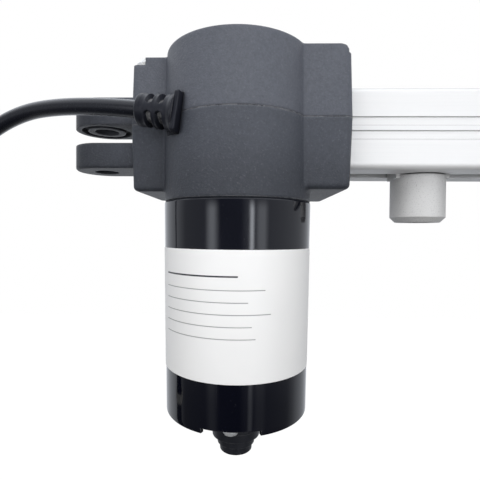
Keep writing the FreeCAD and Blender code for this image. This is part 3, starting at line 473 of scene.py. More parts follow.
share = sweep.maths("", "MAXIMUM", path.part("Is Glossy Ray"), below)
closed = sweep.node("ShaderNodeMixShader", {}, {0: share, 1: both, 2: clear})
sweep.node("ShaderNodeOutputMaterial", {}, {"Surface": closed})
data.materials.append(FINISHES.pop("sweep"))
print("floor at z, mm:", round(lowest / MM, 1))

# %% [markdown]
# ## Lamps
# Three softboxes light the matt surfaces. One hangs close above and in front of the gearbox, so
# that its walls darken downwards as they do in the picture. A wide one stands behind the
# photographer, at the object's height, and keeps the label white. The third lights the rail.
# The black cover mirrors none of them but the room, so they are hidden from glossy rays.

# %% Softboxes


def softbox(name, place, target, wide, tall, radiance):
    """A soft lamp that faces a target; places in millimetres."""
    lamp = bpy.data.lights.new(name, "AREA")
    lamp.shape, lamp.size, lamp.size_y = "RECTANGLE", wide * MM, tall * MM
    lamp.energy = radiance * pi * lamp.size * lamp.size_y
    box = add(name, lamp)
    box.location = Vector(place) * MM
    way = Vector(target) - Vector(place)
    box.rotation_euler = way.to_track_quat("-Z", "Y").to_euler()
    box.visible_camera = box.visible_glossy = False
    return box


# Name, place, target, width and height in mm, radiance.
lamps = [
    softbox("over_gearbox", (50, -130, 112), (52, -30, 0), 110, 80, 3.8),
    softbox("front", (24, -240, 4), (40, -30, -36), 600, 120, 2.2),
    softbox("rail_side", (260, -200, 40), (140, -15, 0), 130, 130, 1.15),
]
print("lamps:", [(lamp.name, round(lamp.data.energy, 3)) for lamp in lamps])

# %% [markdown]
# ## Gearbox plastic
# The housing is moulded in glass-filled nylon with a spark-eroded texture: a grain about half a
# millimetre across that breaks up the shine, slightly cloudy colour, and rubbed, paler edges.
# The lower half is painted darker, most at its foot, and so are the clevis ears: painted shade
# for light that falls from above and misses the set-back ears. Where the halves meet there is a
# hairline, pale with a few dark bits, and the corners are darkened with painted shade. All of
# it comes from the place on the part, in metres.

# %% Housing plastic
g = finish("housing_plastic")
cloud = g.patches(22, 3)
spark = g.patches(0.55, rough=0.7)
fine = g.patches(0.22, 1.0)
dust = g.step(g.patches(1.3, 3.0, rough=0.7), 0.58, 0.76)
edge = g.worn_edges(0.8) * g.step(g.patches(2.0, 3.0), 0.28, 0.60)
halves = g.step(g.z, -0.15 * MM, 0.15 * MM)
hairline = g.band(g.z, 0.0, 0.05 * MM, 0.12 * MM)
open_line = g.step(g.patches(1.7), 0.48, 0.56)
colour = g.mix(cloud, (0.080, 0.087, 0.107), (0.103, 0.110, 0.131))
# Painted shade: the lower half darker, most at its foot, and the clevis ears darker, for light
# from above.
foot_shade = g.step(g.z, -3 * MM, -22 * MM)
ear_shade = g.step(g.x, 12 * MM, -10 * MM)
colour = g.mix(halves, colour * (0.70, 0.71, 0.72) * (1 - foot_shade * 0.34), colour)
colour = colour * (1 - ear_shade * 0.42)
mottle = g.patches(1.4, 3.0, rough=0.7)
colour = colour * (0.56 + mottle * 0.46 + spark * 0.42)
colour = g.mix(g.step(spark, 0.58, 0.80) * 0.30, colour, (0.19, 0.195, 0.21))
colour = g.mix(dust * 0.05, colour, (0.28, 0.28, 0.28))
colour = g.mix(edge * 0.60, colour, (0.25, 0.255, 0.27))
flash = g.mix(open_line, (0.15, 0.155, 0.17), (0.02, 0.02, 0.025))
colour = g.mix(hairline * 0.7, colour, flash)
# Painted shade: corners and creases darkened.
crease_shade = g.step(g.corners(7), 0.85, 0.30)
colour = g.mix(crease_shade * 0.75, colour, (0.012, 0.013, 0.018))
relief = spark * 0.7 + fine * 0.2 + mottle * 0.3
rough = 0.54 - edge * 0.14 + dust * 0.10 - cloud * 0.08
g.surface(colour, rough, g.bump(relief, 0.16, 1.2), specular=0.30)

# %% [markdown]
# ## Motor cover
# A drawn steel tube with a thick coat of gloss black. The coat isn't flat: it pulls into long
# upright waves, which is why the streaks of light in it wobble, and it has a few dull specks
# and fine scratches. A Bump node with stretched noise makes the waves, and roughness carries
# the specks. Its edges are painted pale, a painted highlight for the room's reflection in the
# shoulder and the lip.

# %% Gloss black coat
g = finish("gloss_black")
waves = g.patches(7.0, stretch=(1, 1, 9))
ripple = g.patches(1.6, stretch=(1, 1, 5))
specks = g.step(g.patches(0.5, rough=0.6), 0.70, 0.80)
scratch = g.step(g.patches(0.22, 1.0, stretch=(1, 1, 60)), 0.74, 0.84)
smear = g.step(g.patches(14, 4.0, stretch=(1, 1, 3)), 0.45, 0.75)
# Painted highlight: pale edges for the room's reflection in the shoulder and the lip.
rim = g.worn_edges(0.30)
colour = g.mix(smear, (0.0022, 0.0026, 0.0066), (0.0040, 0.0045, 0.0095))
colour = g.mix(specks * 0.4 + scratch * 0.25, colour, (0.06, 0.06, 0.07))
colour = g.mix(rim * 0.5, colour, (0.20, 0.20, 0.22))
rough = 0.07 + smear * 0.07 + specks * 0.30 + scratch * 0.20
g.surface(colour, rough, g.bump(waves * 0.8 + ripple * 0.10, 0.05))

# %% [markdown]
# ## Label film
# A white film with a few plain rules, one thick and five thin, which are bands across Z that
# end at different X. Film this thin shows a faint orange peel of the coat under it.

# %% Label film
MOTOR = (47.2, -16.0)  # where the motor's axis stands, mm
LABEL_TOP = -37.4
# The rules: depth below the label's top, half thickness and right end in mm, and ink.
RULES = [(7.0, 0.20, 0.8, 1.0), (10.6, 0.09, 8.0, 0.7), (13.8, 0.09, 3.5, 0.7)]
RULES += [(17.0, 0.09, 9.5, 0.7), (20.2, 0.09, 4.5, 0.7), (23.4, 0.09, 5.5, 0.7)]
RULES_LEFT = -19.4
g = finish("label_film")
across = g.x - MOTOR[0] * MM
fibre = g.patches(0.35)
mottle = g.patches(9, 3)
rule = 0.0
for below, half, right, ink in RULES:
    here = g.band(g.z, (LABEL_TOP - below) * MM, half * MM, 0.05 * MM)
    rule = here * g.step(across, (right + 0.2) * MM, right * MM) * ink + rule
rule = rule * g.step(across, (RULES_LEFT - 0.2) * MM, RULES_LEFT * MM)
colour = g.mix(mottle, (0.90, 0.905, 0.91), (0.94, 0.94, 0.94))
colour = g.mix(fibre * 0.08, colour, (0.76, 0.76, 0.77))
colour = g.mix(rule, colour, (0.035, 0.036, 0.042))
rough = 0.42 + fibre * 0.08 - rule * 0.06
g.surface(colour, rough, g.bump(fibre * 0.4 + mottle * 0.6, 0.012))

# %% [markdown]
# ## Anodised rail
# The rail is an extrusion with a satin anodised skin. The die leaves fine lines along it, so
# the grain is stretched far along X. The skin scatters light almost like white paint, so the
# metal share is kept low. Two dark lines are painted along its face at the edges of the grooves
# that the CAD rail has, and a darker band at its rounded top edge: painted shade. The grooves
# and corners are darkened with painted shade too.

# %% Anodised rail
g = finish("rail_aluminium")
grain = g.patches(0.22, stretch=(160, 1, 1))
lines = g.patches(0.8, 1.0, stretch=(400, 1, 1))
cloud = g.patches(30, 3, stretch=(2, 1, 1))
nick = g.step(g.patches(0.7, 3.0, rough=0.7), 0.74, 0.82)
edge = g.worn_edges(0.25)
colour = g.mix(grain, (0.84, 0.845, 0.85), (0.92, 0.92, 0.92))
colour = g.mix(lines * 0.25, colour, (0.74, 0.75, 0.77))
colour = g.mix(nick * 0.25 + edge * 0.10, colour, (0.55, 0.55, 0.56))
# Painted shade: dark lines along the grooves' edges and a darker band at the rounded top edge.
groove_shade = g.band(g.z, 0.94 * MM, 0.05 * MM, 0.08 * MM) * 0.22
groove_shade = g.band(g.z, -3.40 * MM, 0.06 * MM, 0.08 * MM) * 0.34 + groove_shade
top_edge_shade = g.step(g.z, 12.1 * MM, 12.9 * MM) * 0.6
colour = g.mix(groove_shade + top_edge_shade, colour, (0.30, 0.30, 0.31))
# Painted shade: the grooves and corners darkened.
crease_shade = g.step(g.corners(1.6), 0.80, 0.35)
colour = g.mix(crease_shade * 0.65, colour, (0.10, 0.10, 0.10))
rough = 0.40 + grain * 0.12 + cloud * 0.06 - edge * 0.1
normal = g.bump(grain * 0.6 + lines * 0.4, 0.006, 0.15)
g.surface(colour, rough, normal, metallic=0.20 + edge * 0.3)

# %% [markdown]
# ## Slider
# The slider's boss is die-cast and blasted: an even, darker grey with a fine pitted grain, and
# brighter metal where its edges rub. The same three layers make it: a slow cloud for the flow
# of the casting, fine noise for the pits, and the worn edges.

# %% Blasted die casting
g = finish("slider_metal")
pits = g.patches(0.30, rough=0.6)
flow = g.patches(7, 3, stretch=(1, 1, 2.5))
edge = g.worn_edges(0.5) * g.step(g.patches(1.8), 0.25, 0.6)
colour = g.mix(flow, (0.64, 0.64, 0.645), (0.74, 0.74, 0.735))
colour = g.mix(g.step(pits, 0.30, 0.42), (0.48, 0.48, 0.49), colour)
colour = g.mix(edge * 0.6, colour, (0.72, 0.72, 0.71))
rough = 0.58 - edge * 0.18 + flow * 0.06
g.surface(colour, rough, g.bump(pits, 0.02, 0.3), metallic=0.20 + edge * 0.3)

# %% [markdown]
# ## Steels
# Zinc-plated screws are bright, with a faint blue and yellow play and dull scuffs from the
# driver. A zinc skin scatters more than bare steel, so only a third of it is metal.

# %% Plated screws
g = finish("screw_steel")
play = g.patches(2.2)
scuff = g.step(g.patches(0.35, 3.0, rough=0.7), 0.58, 0.72)
edge = g.worn_edges(0.2)
colour = g.mix(play, (0.70, 0.70, 0.66), (0.70, 0.72, 0.76))
colour = g.mix(scuff * 0.5, colour, (0.42, 0.42, 0.42))
rough = 0.24 + scuff * 0.25 + play * 0.06 - edge * 0.05
normal = g.bump(scuff * 0.4 + g.patches(0.2, 1.0) * 0.4, 0.012, 0.12)
g.surface(colour, rough, normal, metallic=0.35)

# %% [markdown]
# Ground shafts are bare steel, all metal. Grinding leaves fine rings round the lead screw's
# axis, so the noise changes along X and hardly across it, and grease dulls them in patches.

# %% Ground shafts
g = finish("shaft_steel")
rings = g.patches(0.12, 1.0, stretch=(1, 90, 90))
film = g.patches(6, 3)
edge = g.worn_edges(0.2)
colour = g.mix(film, (0.56, 0.56, 0.55), (0.66, 0.66, 0.66))
colour = g.mix(edge * 0.4, colour, (0.80, 0.80, 0.80))
rough = 0.24 + rings * 0.12 + film * 0.08
g.surface(colour, rough, g.bump(rings, 0.004, 0.1), metallic=1.0)

# %% [markdown]
# The motor's can is drawn, which leaves lines along its length. The armature's core is a stack
# of stamped sheets half a millimetre apart, and a Wave texture gives such even layers better
# than noise does.

# %% Drawn can and stacked core
g = finish("motor_steel")
drawn = g.patches(0.25, stretch=(1, 1, 80))
film = g.patches(8, 3)
colour = g.mix(drawn * 0.5 + film * 0.5, (0.44, 0.44, 0.43), (0.58, 0.58, 0.57))
rough = 0.34 + film * 0.12
g.surface(colour, rough, g.bump(drawn, 0.006, 0.3), metallic=0.95)
g = finish("core_steel")
sockets = {"Vector": g.place, "Scale": g.waves_of(0.5), "Distortion": 0.0}
sheets = g.node("ShaderNodeTexWave", {"bands_direction": "Z"}, sockets, "Fac")
rust = g.step(g.patches(3.0, 4.0, rough=0.7), 0.58, 0.75)
colour = g.mix(sheets, (0.10, 0.10, 0.105), (0.26, 0.26, 0.27))
colour = g.mix(rust * 0.25, colour, (0.20, 0.12, 0.07))
rough = 0.45 + rust * 0.2
g.surface(colour, rough, g.bump(sheets, 0.03), metallic=0.7)
print("finishes so far:", len(FINISHES))

# %% [markdown]
# ## Plastics and rubber
# Black nylon, as on the rail's end cap, has the same spark texture as the housing, only finer,
# and its edges turn pale where they rub.

# %% Black plastic
g = finish("black_plastic")
spark = g.patches(0.25, rough=0.6)
cloud = g.patches(8, 3)
edge = g.worn_edges(0.35) * g.step(g.patches(1.6), 0.25, 0.6)
colour = g.mix(cloud, (0.009, 0.010, 0.014), (0.017, 0.018, 0.023))
colour = g.mix(edge * 0.6, colour, (0.20, 0.20, 0.205))
rough = 0.42 + cloud * 0.08 - edge * 0.1
g.surface(colour, rough, g.bump(spark, 0.018, 0.25), specular=0.35)

# %% [markdown]
# The strain relief is softer. The floors of its windows are painted paler, a painted highlight
# for the light from above that they catch, and its corners are darkened with painted shade. The
# window floors lie close to the relief's own axis, so their place is found along that axis and
# away from it. The gland is where the relief leaves the housing, 22.3 mm from the motor's axis,
# and the turn lays its axis 13 degrees off to the side and 9.5 degrees upwards.

# %% Strain relief rubber
GLAND_OUT, GLAND_WAY, GLAND_Z = 22.3, (0.666, 0.686), -0.5
GLAND = Vector((*(m - GLAND_OUT * w for m, w in zip(MOTOR, GLAND_WAY)), GLAND_Z))
TURN = Matrix.Rotation(radians(180 - 13), 3, "Z")
TURN = TURN @ Matrix.Rotation(radians(-9.5), 3, "Y")
g = finish("relief_rubber")
place, way = g.place - tuple(GLAND * MM), tuple(TURN @ Vector((1, 0, 0)))
off_axis = g.maths("Vector", "CROSS_PRODUCT", place, way)
off_axis = g.maths("Vector", "LENGTH", off_axis, out="Value")
along = g.maths("Vector", "DOT_PRODUCT", place, way, out="Value")
# Painted highlight: the window floors paler, for the light from above that they catch.
window_light = g.step(off_axis, 3.35 * MM, 3.10 * MM) * g.step(g.patches(1.2, 3.0), 0.25, 0.65)
window_light = window_light * g.step(along, 2.6 * MM, 3.2 * MM)
skin_grain = g.patches(0.22, rough=0.6)
cloud = g.patches(3, 3)
edge = g.worn_edges(0.22)
rub = g.step(g.patches(0.8), 0.30, 0.60)
colour = g.mix(cloud, (0.006, 0.007, 0.012), (0.012, 0.013, 0.019))
colour = g.mix(edge * rub * 0.55, colour, (0.30, 0.30, 0.31))
# Painted shade: the corners darkened.
colour = g.mix(g.step(g.corners(2.5), 0.6, 0.2) * 0.6, colour, (0.002, 0.002, 0.003))
colour = g.mix(window_light * 0.7, colour, (0.34, 0.34, 0.35))
rough = 0.36 + skin_grain * 0.10 + window_light * 0.2
g.surface(colour, rough, g.bump(skin_grain, 0.02, 0.15), specular=0.35)

# %% [markdown]
# White acetal and cast nylon are waxy. Light goes a little way in, which a soft sheen in the
# roughness suggests, turning leaves faint rings, and grease gathers in patches. One loop makes
# both, since only their colours differ.

# %% White acetal and cast nylon
for slot, low, high in (
    ("nylon_white", (0.74, 0.73, 0.68), (0.86, 0.85, 0.81)),
    ("gear_nylon", (0.68, 0.62, 0.46), (0.80, 0.74, 0.58)),
):
    g = finish(slot)
    turned = g.patches(0.18, 1.0, stretch=(1, 30, 30))
    cloud = g.patches(5, 3)
    grease = g.step(g.patches(3.5, 3.0, rough=0.6), 0.50, 0.68)
    colour = g.mix(cloud, low, high)
    colour = g.mix(grease * 0.18, colour, (0.42, 0.36, 0.22))
    rough = 0.46 - grease * 0.26 + turned * 0.05
    g.surface(colour, rough, g.bump(turned, 0.008, 0.2))

# %% [markdown]
# The lead's rubber is nearly black, with a dull shine, the marks that extrusion drags along it
# and a little dust. The seal between the gearbox and the motor is the same rubber, only duller.

# %% Lead rubber and seal rubber
for slot, shine in (("lead_rubber", 0.20), ("seal_rubber", 0.60)):
    g = finish(slot)
    skin = g.patches(0.30, rough=0.6)
    drag = g.patches(1.6)
    dust = g.step(g.patches(0.9, 3.0, rough=0.75), 0.60, 0.76)
    colour = g.mix(drag, (0.0045, 0.0052, 0.0085), (0.0095, 0.0105, 0.0160))
    colour = g.mix(dust * 0.04, colour, (0.18, 0.18, 0.18))
    rough = shine + skin * 0.08 + dust * 0.2
    g.surface(colour, rough, g.bump(skin * 0.5 + drag * 0.5, 0.012), specular=0.50)

# %% [markdown]
# ## Inside the motor and gearbox
# These show only when a view cuts in, yet each is finished as the real one. Sintered bronze is
# porous, stamped brass is smoother, and the windings are rows of lacquered copper wire, whose
# lacquer is darker in some places.

# %% Bronze, brass and copper
for slot, low, high, size, shine in (
    ("bronze", (0.42, 0.29, 0.15), (0.60, 0.44, 0.25), 0.14, 0.42),
    ("contact_brass", (0.66, 0.53, 0.25), (0.80, 0.68, 0.38), 0.30, 0.22),
):
    g = finish(slot)
    pores = g.patches(size, rough=0.6)
    tarnish = g.patches(2.5, 3)
    colour = g.mix(tarnish, low, high)
    colour = g.mix(g.step(pores, 0.66, 0.76) * 0.5, colour, (0.16, 0.10, 0.05))
    rough = shine + tarnish * 0.14
    g.surface(colour, rough, g.bump(pores, 0.008, 0.1), metallic=0.95)
g = finish("copper_wire")
sockets = {"Vector": g.place, "Scale": g.waves_of(0.5), "Distortion": 1.2, "Detail": 1.0}
turns = g.node("ShaderNodeTexWave", {"bands_direction": "DIAGONAL"}, sockets, "Fac")
lacquer = g.patches(1.5)
colour = g.mix(turns, (0.20, 0.07, 0.03), (0.66, 0.31, 0.14))
colour = g.mix(lacquer * 0.3, colour, (0.40, 0.16, 0.05))
rough = 0.28 + lacquer * 0.15
g.surface(colour, rough, g.bump(turns, 0.10), metallic=0.8)

# %% [markdown]
# Ferrite magnets are chalky and chip at their edges, and carbon brushes have the dull shine of
# graphite. The board in the rail is green lacquer over glass cloth, with two raised tracks.

# %% Ferrite, carbon and circuit board
for slot, low, high, metal, shine in (
    ("ferrite", (0.075, 0.075, 0.078), (0.125, 0.125, 0.13), 0.0, 0.72),
    ("carbon", (0.030, 0.030, 0.031), (0.060, 0.060, 0.062), 0.3, 0.45),
):
    g = finish(slot)
    chalk = g.patches(0.25, 3.0, rough=0.7)
    chip = g.worn_edges(0.4) * g.step(g.patches(0.9), 0.40, 0.60)
    colour = g.mix(chalk, low, high)
    colour = g.mix(chip * 0.5, colour, (0.20, 0.20, 0.20))
    rough = shine + chalk * 0.1
    g.surface(colour, rough, g.bump(chalk, 0.02), metallic=metal)
g = finish("board_green")
sockets = {"Vector": g.place, "Scale": 1 / (0.6 * MM), "Randomness": 0.25}
weave = g.node("ShaderNodeTexVoronoi", {}, sockets, "Distance")
track = g.band(g.z, 3.4 * MM, 0.6 * MM, 0.1 * MM)
track = track + g.band(g.z, -3.4 * MM, 0.6 * MM, 0.1 * MM)
colour = g.mix(weave, (0.035, 0.17, 0.075), (0.055, 0.24, 0.115))
colour = g.mix(track * 0.6, colour, (0.12, 0.36, 0.16))
rough = 0.26 + weave * 0.2
g.surface(colour, rough, g.bump(track + weave * 0.1, 0.03))
print("all finishes:", len(FINISHES))

# %% [markdown]
# Every CAD piece now takes the finish of the slot that the record gives it, by the object's own
# material slot, which leaves its mesh alone.

# %% Dress the CAD pieces
for part in frame["record"]["subparts"]:
    node = frame["nodes"][part["node"]]
    for place in node.material_slots:
        place.material = FINISHES[part["material_slot"]]
lead.data.materials.append(FINISHES["lead_rubber"])

# %% [markdown]
# ## Making pieces
# A finer piece is worked out point by point: rings of points joined by faces. One helper turns
# a mesh into a piece of the base with its slot and finish, and prints how many faces it has.

# %% Helpers for new pieces


def new_piece(name, mesh, slot, replaced, bevel=None, smooth=True):
    """Turn a bmesh, in millimetres, into a finished piece of the base, for a CAD node."""
    bmesh.ops.scale(mesh, vec=(MM, MM, MM), verts=mesh.verts)
    bmesh.ops.recalc_face_normals(mesh, faces=mesh.faces)
    data = bpy.data.meshes.new(name)
    mesh.to_mesh(data)
    mesh.free()
    if smooth:
        for face in data.polygons:
            face.use_smooth = True
    data.materials.append(FINISHES[slot])
    piece = add(name, data)
    if bevel:
        rounding = piece.modifiers.new("rounding", "BEVEL")
        rounding.width, rounding.segments = bevel * MM, 3
        rounding.limit_method, rounding.angle_limit = "ANGLE", radians(32)
        rounding.harden_normals = True
    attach(piece, "base")
    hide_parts(replaced)
    print(name, "faces:", len(data.polygons))
    return piece


def skin(mesh, rings, closed=True, caps=True):
    """Join rings of points, each a list of the same length, into one surface."""
    rows = [[mesh.verts.new(p) for p in ring] for ring in rings]
    count = len(rows[0])
    for low, high in zip(rows, rows[1:]):
        for k in range(count if closed else count - 1):
            after = (k + 1) % count
            mesh.faces.new((low[k], low[after], high[after], high[k]))
    if caps:
        mesh.faces.new(rows[0])
        mesh.faces.new(rows[-1])
    return rows


def circle(count, ahead=0.0):
    """Cosine and sine at even angles once round, the first ahead steps from 0."""
    angles = [2 * pi * (k + ahead) / count for k in range(count)]
    return [(cos(a), sin(a)) for a in angles]


print("four points of a circle:", [(round(c), round(s)) for c, s in circle(4)])

# %% [markdown]
# ## Round the motor
# The cover tapers a little, as drawn steel does so that it comes off its punch. The label and
# the cover both follow that cone: one helper gives its radius at a height, and a second one
# puts a point at a radius and an angle round the motor's axis.

# %% Shape of the cover
COVER_TOP, COVER_LOW, RADIUS_TOP, RADIUS_LOW = -23.8, -86.8, 22.5, 21.63


def cover_radius(z):
    """The cover's radius at a height; it tapers downwards."""
    share = (COVER_TOP - z) / (COVER_TOP - COVER_LOW)
    return RADIUS_TOP + (RADIUS_LOW - RADIUS_TOP) * share


def round_motor(r, angle, z):
    """A point at radius r from the motor's axis, angle 0 in front."""
    return (MOTOR[0] + r * sin(angle), MOTOR[1] - r * cos(angle), z)


print("cover's radius at the label's top, mm:", round(cover_radius(LABEL_TOP), 2))

# %% [markdown]
# ## Label
# The film is 0.12 mm thick, wrapped on the cover, with rounded corners: near its upper and
# lower edge the rows of points get shorter. As rows on the cone it lies snug on the gloss
# coat, where the CAD solid's facets would cut through it.

# %% Label piece
LABEL_LOW = -72.7
HALF_WRAP = radians(78)  # how far the film reaches round to each side
LABEL_CORNER = 1.6
COLUMNS = 96
FACE_LIFT, BACK_LIFT = 0.15, 0.03  # how far the film's two sides lie off the cover

mesh = bmesh.new()
insets = [0, 0.12, 0.35, 0.7, 1.1, LABEL_CORNER]
straight = LABEL_TOP - LABEL_LOW - 2 * LABEL_CORNER
levels = [LABEL_TOP - d for d in insets]
levels += [LABEL_TOP - LABEL_CORNER - straight * k / 12 for k in range(1, 12)]
levels += [LABEL_LOW + d for d in reversed(insets)]
outer, inner = [], []
for z in levels:
    from_end = min(LABEL_TOP - z, z - LABEL_LOW, LABEL_CORNER)
    inward = sqrt(max(LABEL_CORNER**2 - (LABEL_CORNER - from_end) ** 2, 0))
    half = HALF_WRAP - (LABEL_CORNER - inward) / cover_radius(z)
    angles = [-half + 2 * half * k / COLUMNS for k in range(COLUMNS + 1)]
    for row, lift in ((outer, FACE_LIFT), (inner, BACK_LIFT)):
        row.append([round_motor(cover_radius(z) + lift, a, z) for a in angles])
face = skin(mesh, outer, closed=False, caps=False)
back = skin(mesh, inner, closed=False, caps=False)


def rim_of(rows):
    """The outline of a sheet of points, once round."""
    left, right = [r[0] for r in rows], [r[-1] for r in rows]
    return rows[0] + right[1:] + rows[-1][-2::-1] + left[-2:0:-1]


around = list(zip(rim_of(face), rim_of(back)))
for (a, b), (c, d) in zip(around, around[1:] + around[:1]):
    mesh.faces.new((a, c, d, b))
new_piece("label", mesh, "label_film", "rating_label")

# %% [markdown]
# ## Strain relief
# A soft black moulding: a square plate held in the housing, a collar, then a sleeve opened by
# pairs of windows above and below so that it bends with the lead, and a thick lip. It is
# skinned from rings across its axis whose radius drops inside the windows.

# %% Outline and windows of the strain relief
# Along the axis from the housing's face, in mm: the windows' ends, and the sleeve's radius.
WINDOWS = ((4.0, 6.1), (7.3, 9.5))
WINDOWS_FLOOR = 3.0  # radius of the floor of the windows
LIP_FROM = 12
ROUND = 128  # points round a ring
SLEEVE = ((1.4, 5.6), (1.9, 5.45), (2.8, 5.0), (3.8, 4.85), (5.0, 4.9), (6.2, 4.8), (6.7, 4.72))
SLEEVE += ((7.2, 4.8), (8.4, 4.72), (9.6, 4.6), (10.2, 4.5), (10.8, 4.52), (11.4, 4.62))
SLEEVE += ((12.3, 4.6), (12.7, 4.35), (12.88, 3.9), (12.9, 2.62))


def between(pairs, x):
    """The value at x on a line through pairs."""
    for (a, first), (b, second) in zip(pairs, pairs[1:]):
        if a <= x <= b:
            return first + (second - first) * (x - a) / (b - a)
    return pairs[-1][1]


def window_depth(x, sine):
    """1 inside a window, 0 outside; a window is a slot with rounded ends."""
    for a, b in WINDOWS:
        off = abs(x - (a + b) / 2) / ((b - a) / 2)
        if off < 1:
            rib = 0.24 + 0.22 * (1 - sqrt(1 - off * off))
            if abs(sine) > rib:
                return 1.0
    return 0.0


print("window depth at a rib and in a window:", window_depth(5, 0), window_depth(5, 1))

# %% Sleeve of the strain relief
mesh = bmesh.new()
stations = sorted({round(1.4 + 0.1 * k, 3) for k in range(115)} | {x for x, _ in SLEEVE})
rings = []
for x in stations:
    ring = []
    for c, s in circle(ROUND):
        r = between(SLEEVE, x)
        r -= (r - WINDOWS_FLOOR) * window_depth(x, s) if x < LIP_FROM else 0
        ring.append(GLAND + TURN @ Vector((x, r * c, r * s)))
    rings.append(ring)
skin(mesh, rings)
print("rings along the sleeve:", len(rings))

# %% [markdown]
# The plates are slabs across the same axis. Their corners are made round by pushing a circle's
# points out along the two straight directions, and the rim by a smaller first and last ring.

# %% Plates of the strain relief


def rounded_slab(mesh, low_x, high_x, low_y, high_y, half, corner, rim):
    """A plate across the relief's axis, with round corners and a rounded rim."""
    middle, reach = (low_y + high_y) / 2, (high_y - low_y) / 2
    steps = [(low_x, rim), (low_x + rim, 0), (high_x - rim, 0), (high_x - rim / 3, rim / 3)]
    rings = []
    for x, inset in steps:
        ring = []
        for c, s in circle(48, 0.5):
            y = copysign(min(abs(c) * 9, 1), c) * (reach - corner)
            z = copysign(min(abs(s) * 9, 1), s) * (half - corner)
            y += (corner - inset) * c
            z += (corner - inset) * s
            ring.append(GLAND + TURN @ Vector((x, middle + y, z)))
        rings.append(ring)
    skin(mesh, rings)


rounded_slab(mesh, -5.0, 0.2, -3.8, 0.3, 3.8, 0.8, 0.2)
rounded_slab(mesh, 0.0, 1.6, -4.2, 4.2, 5.5, 0.9, 0.35)
relief = new_piece("strain_relief_sleeve", mesh, "black_plastic", "strain_relief")
# Its slot stays the record's black_plastic; the object shows the softer rubber.
relief.material_slots[0].material = FINISHES["relief_rubber"]

# %% [markdown]
# ## Motor cover
# The cover is one drawn cup with a soft shoulder at its open end and a small lip at the other,
# where a notch lets the wires' clip through. It is revolved here with fine steps, so that the
# gloss runs over it without facets; the columns beside the notch stop higher.

# %% Profile of the cover
NOTCH_LEFT, NOTCH_RIGHT, NOTCH_Z = -8.9, 7.4, -85.3
WALL = 1.5
INNER = 21.0
BEND = 0.5  # radius of the shoulder and of the foot's edge


def quarter_turn(r, z, start):
    """Five points on a quarter circle about r, z, from an angle on, clockwise."""
    angles = [radians(start - 22.5 * k) for k in range(5)]
    return [(r + BEND * cos(a), z + BEND * sin(a)) for a in angles]


# The wall as radius and height: down the outside, round the foot, up the inside.
profile = [(INNER, COVER_TOP)]
profile += quarter_turn(RADIUS_TOP - BEND, COVER_TOP - BEND, 90)
profile += [(cover_radius(z), z) for z in range(-28, -84, -4)]
profile += [(cover_radius(-85.0), -85.0)]
profile += quarter_turn(RADIUS_LOW - BEND, COVER_LOW + BEND, 0)
profile += [(RADIUS_LOW - WALL, COVER_LOW), (RADIUS_LOW - WALL, -60.0), (INNER, -26.0)]
print("points of the profile:", len(profile))

# %% Motor cover piece
edges = [asin(NOTCH_LEFT / RADIUS_LOW), asin(NOTCH_RIGHT / RADIUS_LOW)]
columns = sorted([2 * pi * k / 224 - pi for k in range(224)] + edges * 2)
mesh = bmesh.new()
rows, seen_edges = [], []
for angle in columns:
    inside = edges[0] < angle < edges[1]
    if angle in edges:
        inside = (angle in seen_edges) == (angle == edges[0])
        seen_edges.append(angle)
    row = []
    for r, z in profile:
        z = max(z, NOTCH_Z) if inside else z
        row.append(round_motor(min(r, cover_radius(z)), angle, z))
    rows.append(row)
skin(mesh, rows + rows[:1], caps=False)
bmesh.ops.remove_doubles(mesh, verts=mesh.verts, dist=0.0005)
bmesh.ops.dissolve_degenerate(mesh, edges=mesh.edges, dist=0.0005)
new_piece("cover_shell", mesh, "gloss_black", "motor_cover")

# %% [markdown]
# ## Cable tie
# A nylon tie holds the hank at its waist: a strap about 5 mm wide with fine teeth on its outer
# face, drawn through a small square head, with the cut end standing out of it. The strap is
# swept round the hank, and the teeth are a ripple of its outer face.

# %% The strap's path
TIE = Vector((x0, y0 - 9.0, MIDDLE))
HALF_X, HALF_Y, CORNER_R = 5.35, 11.75, 4.6  # the strap's oblong round the hank
STEPS = 240  # sections round the strap
TOOTH = 0.16


def strap_point(share, lift):
    """A point of the strap: a share of the way round its oblong, lifted outwards."""
    flat_x, flat_y = HALF_X - CORNER_R, HALF_Y - CORNER_R
    arc = pi / 2 * CORNER_R
    pieces = [2 * flat_y, arc, 2 * flat_x, arc] * 2
    at = share * sum(pieces)
    for k, size in enumerate(pieces):
        if at <= size or k == 7:
            break
        at -= size
    quarter, straight = k // 2, k % 2 == 0
    turned = quarter * pi / 2
    corners = ((flat_x, -flat_y), (flat_x, flat_y), (-flat_x, flat_y), (-flat_x, -flat_y))
    if straight:
        along = Vector((-sin(turned), cos(turned))) * at
        middle = Vector(corners[quarter]) + along
    else:
        middle = Vector(corners[(quarter + 1) % 4])
        turned += at / CORNER_R
    return middle + Vector((cos(turned), sin(turned))) * (CORNER_R + lift)


print("the strap starts at, mm:", [round(c, 2) for c in strap_point(0, 0)])

# %% Strap with teeth
mesh = bmesh.new()
rings = []
for k in range(STEPS + 1):
    low_face = 0.95 - (TOOTH if k % 3 == 0 else 0.0)
    # The strap's section: how far out, and how high.
    section = ((0.0, -2.3), (0.0, 2.3), (0.55, 2.5), (0.95, 2.2), (0.95, 1.7))
    section += ((low_face, 1.5), (low_face, -1.5), (0.95, -1.7), (0.95, -2.2), (0.55, -2.5))
    ring = []
    for lift, z in section:
        flat = strap_point(k / STEPS, lift)
        ring.append(TIE + Vector((flat.x, flat.y, z)))
    rings.append(ring)
skin(mesh, rings, caps=False)
bmesh.ops.remove_doubles(mesh, verts=mesh.verts, dist=0.001)
print("points of the strap:", len(mesh.verts))

# %% [markdown]
# The head is a square frame of four bars that the strap runs through, and the cut end stands
# out of it. The new piece's bevel rounds their edges.

# %% Head and cut end


def block(mesh, low, high):
    """A box between two corners."""
    made = bmesh.ops.create_cube(mesh, size=1.0)["verts"]
    for v in made:
        v.co = Vector(low[i] + (high[i] - low[i]) * (v.co[i] + 0.5) for i in range(3))


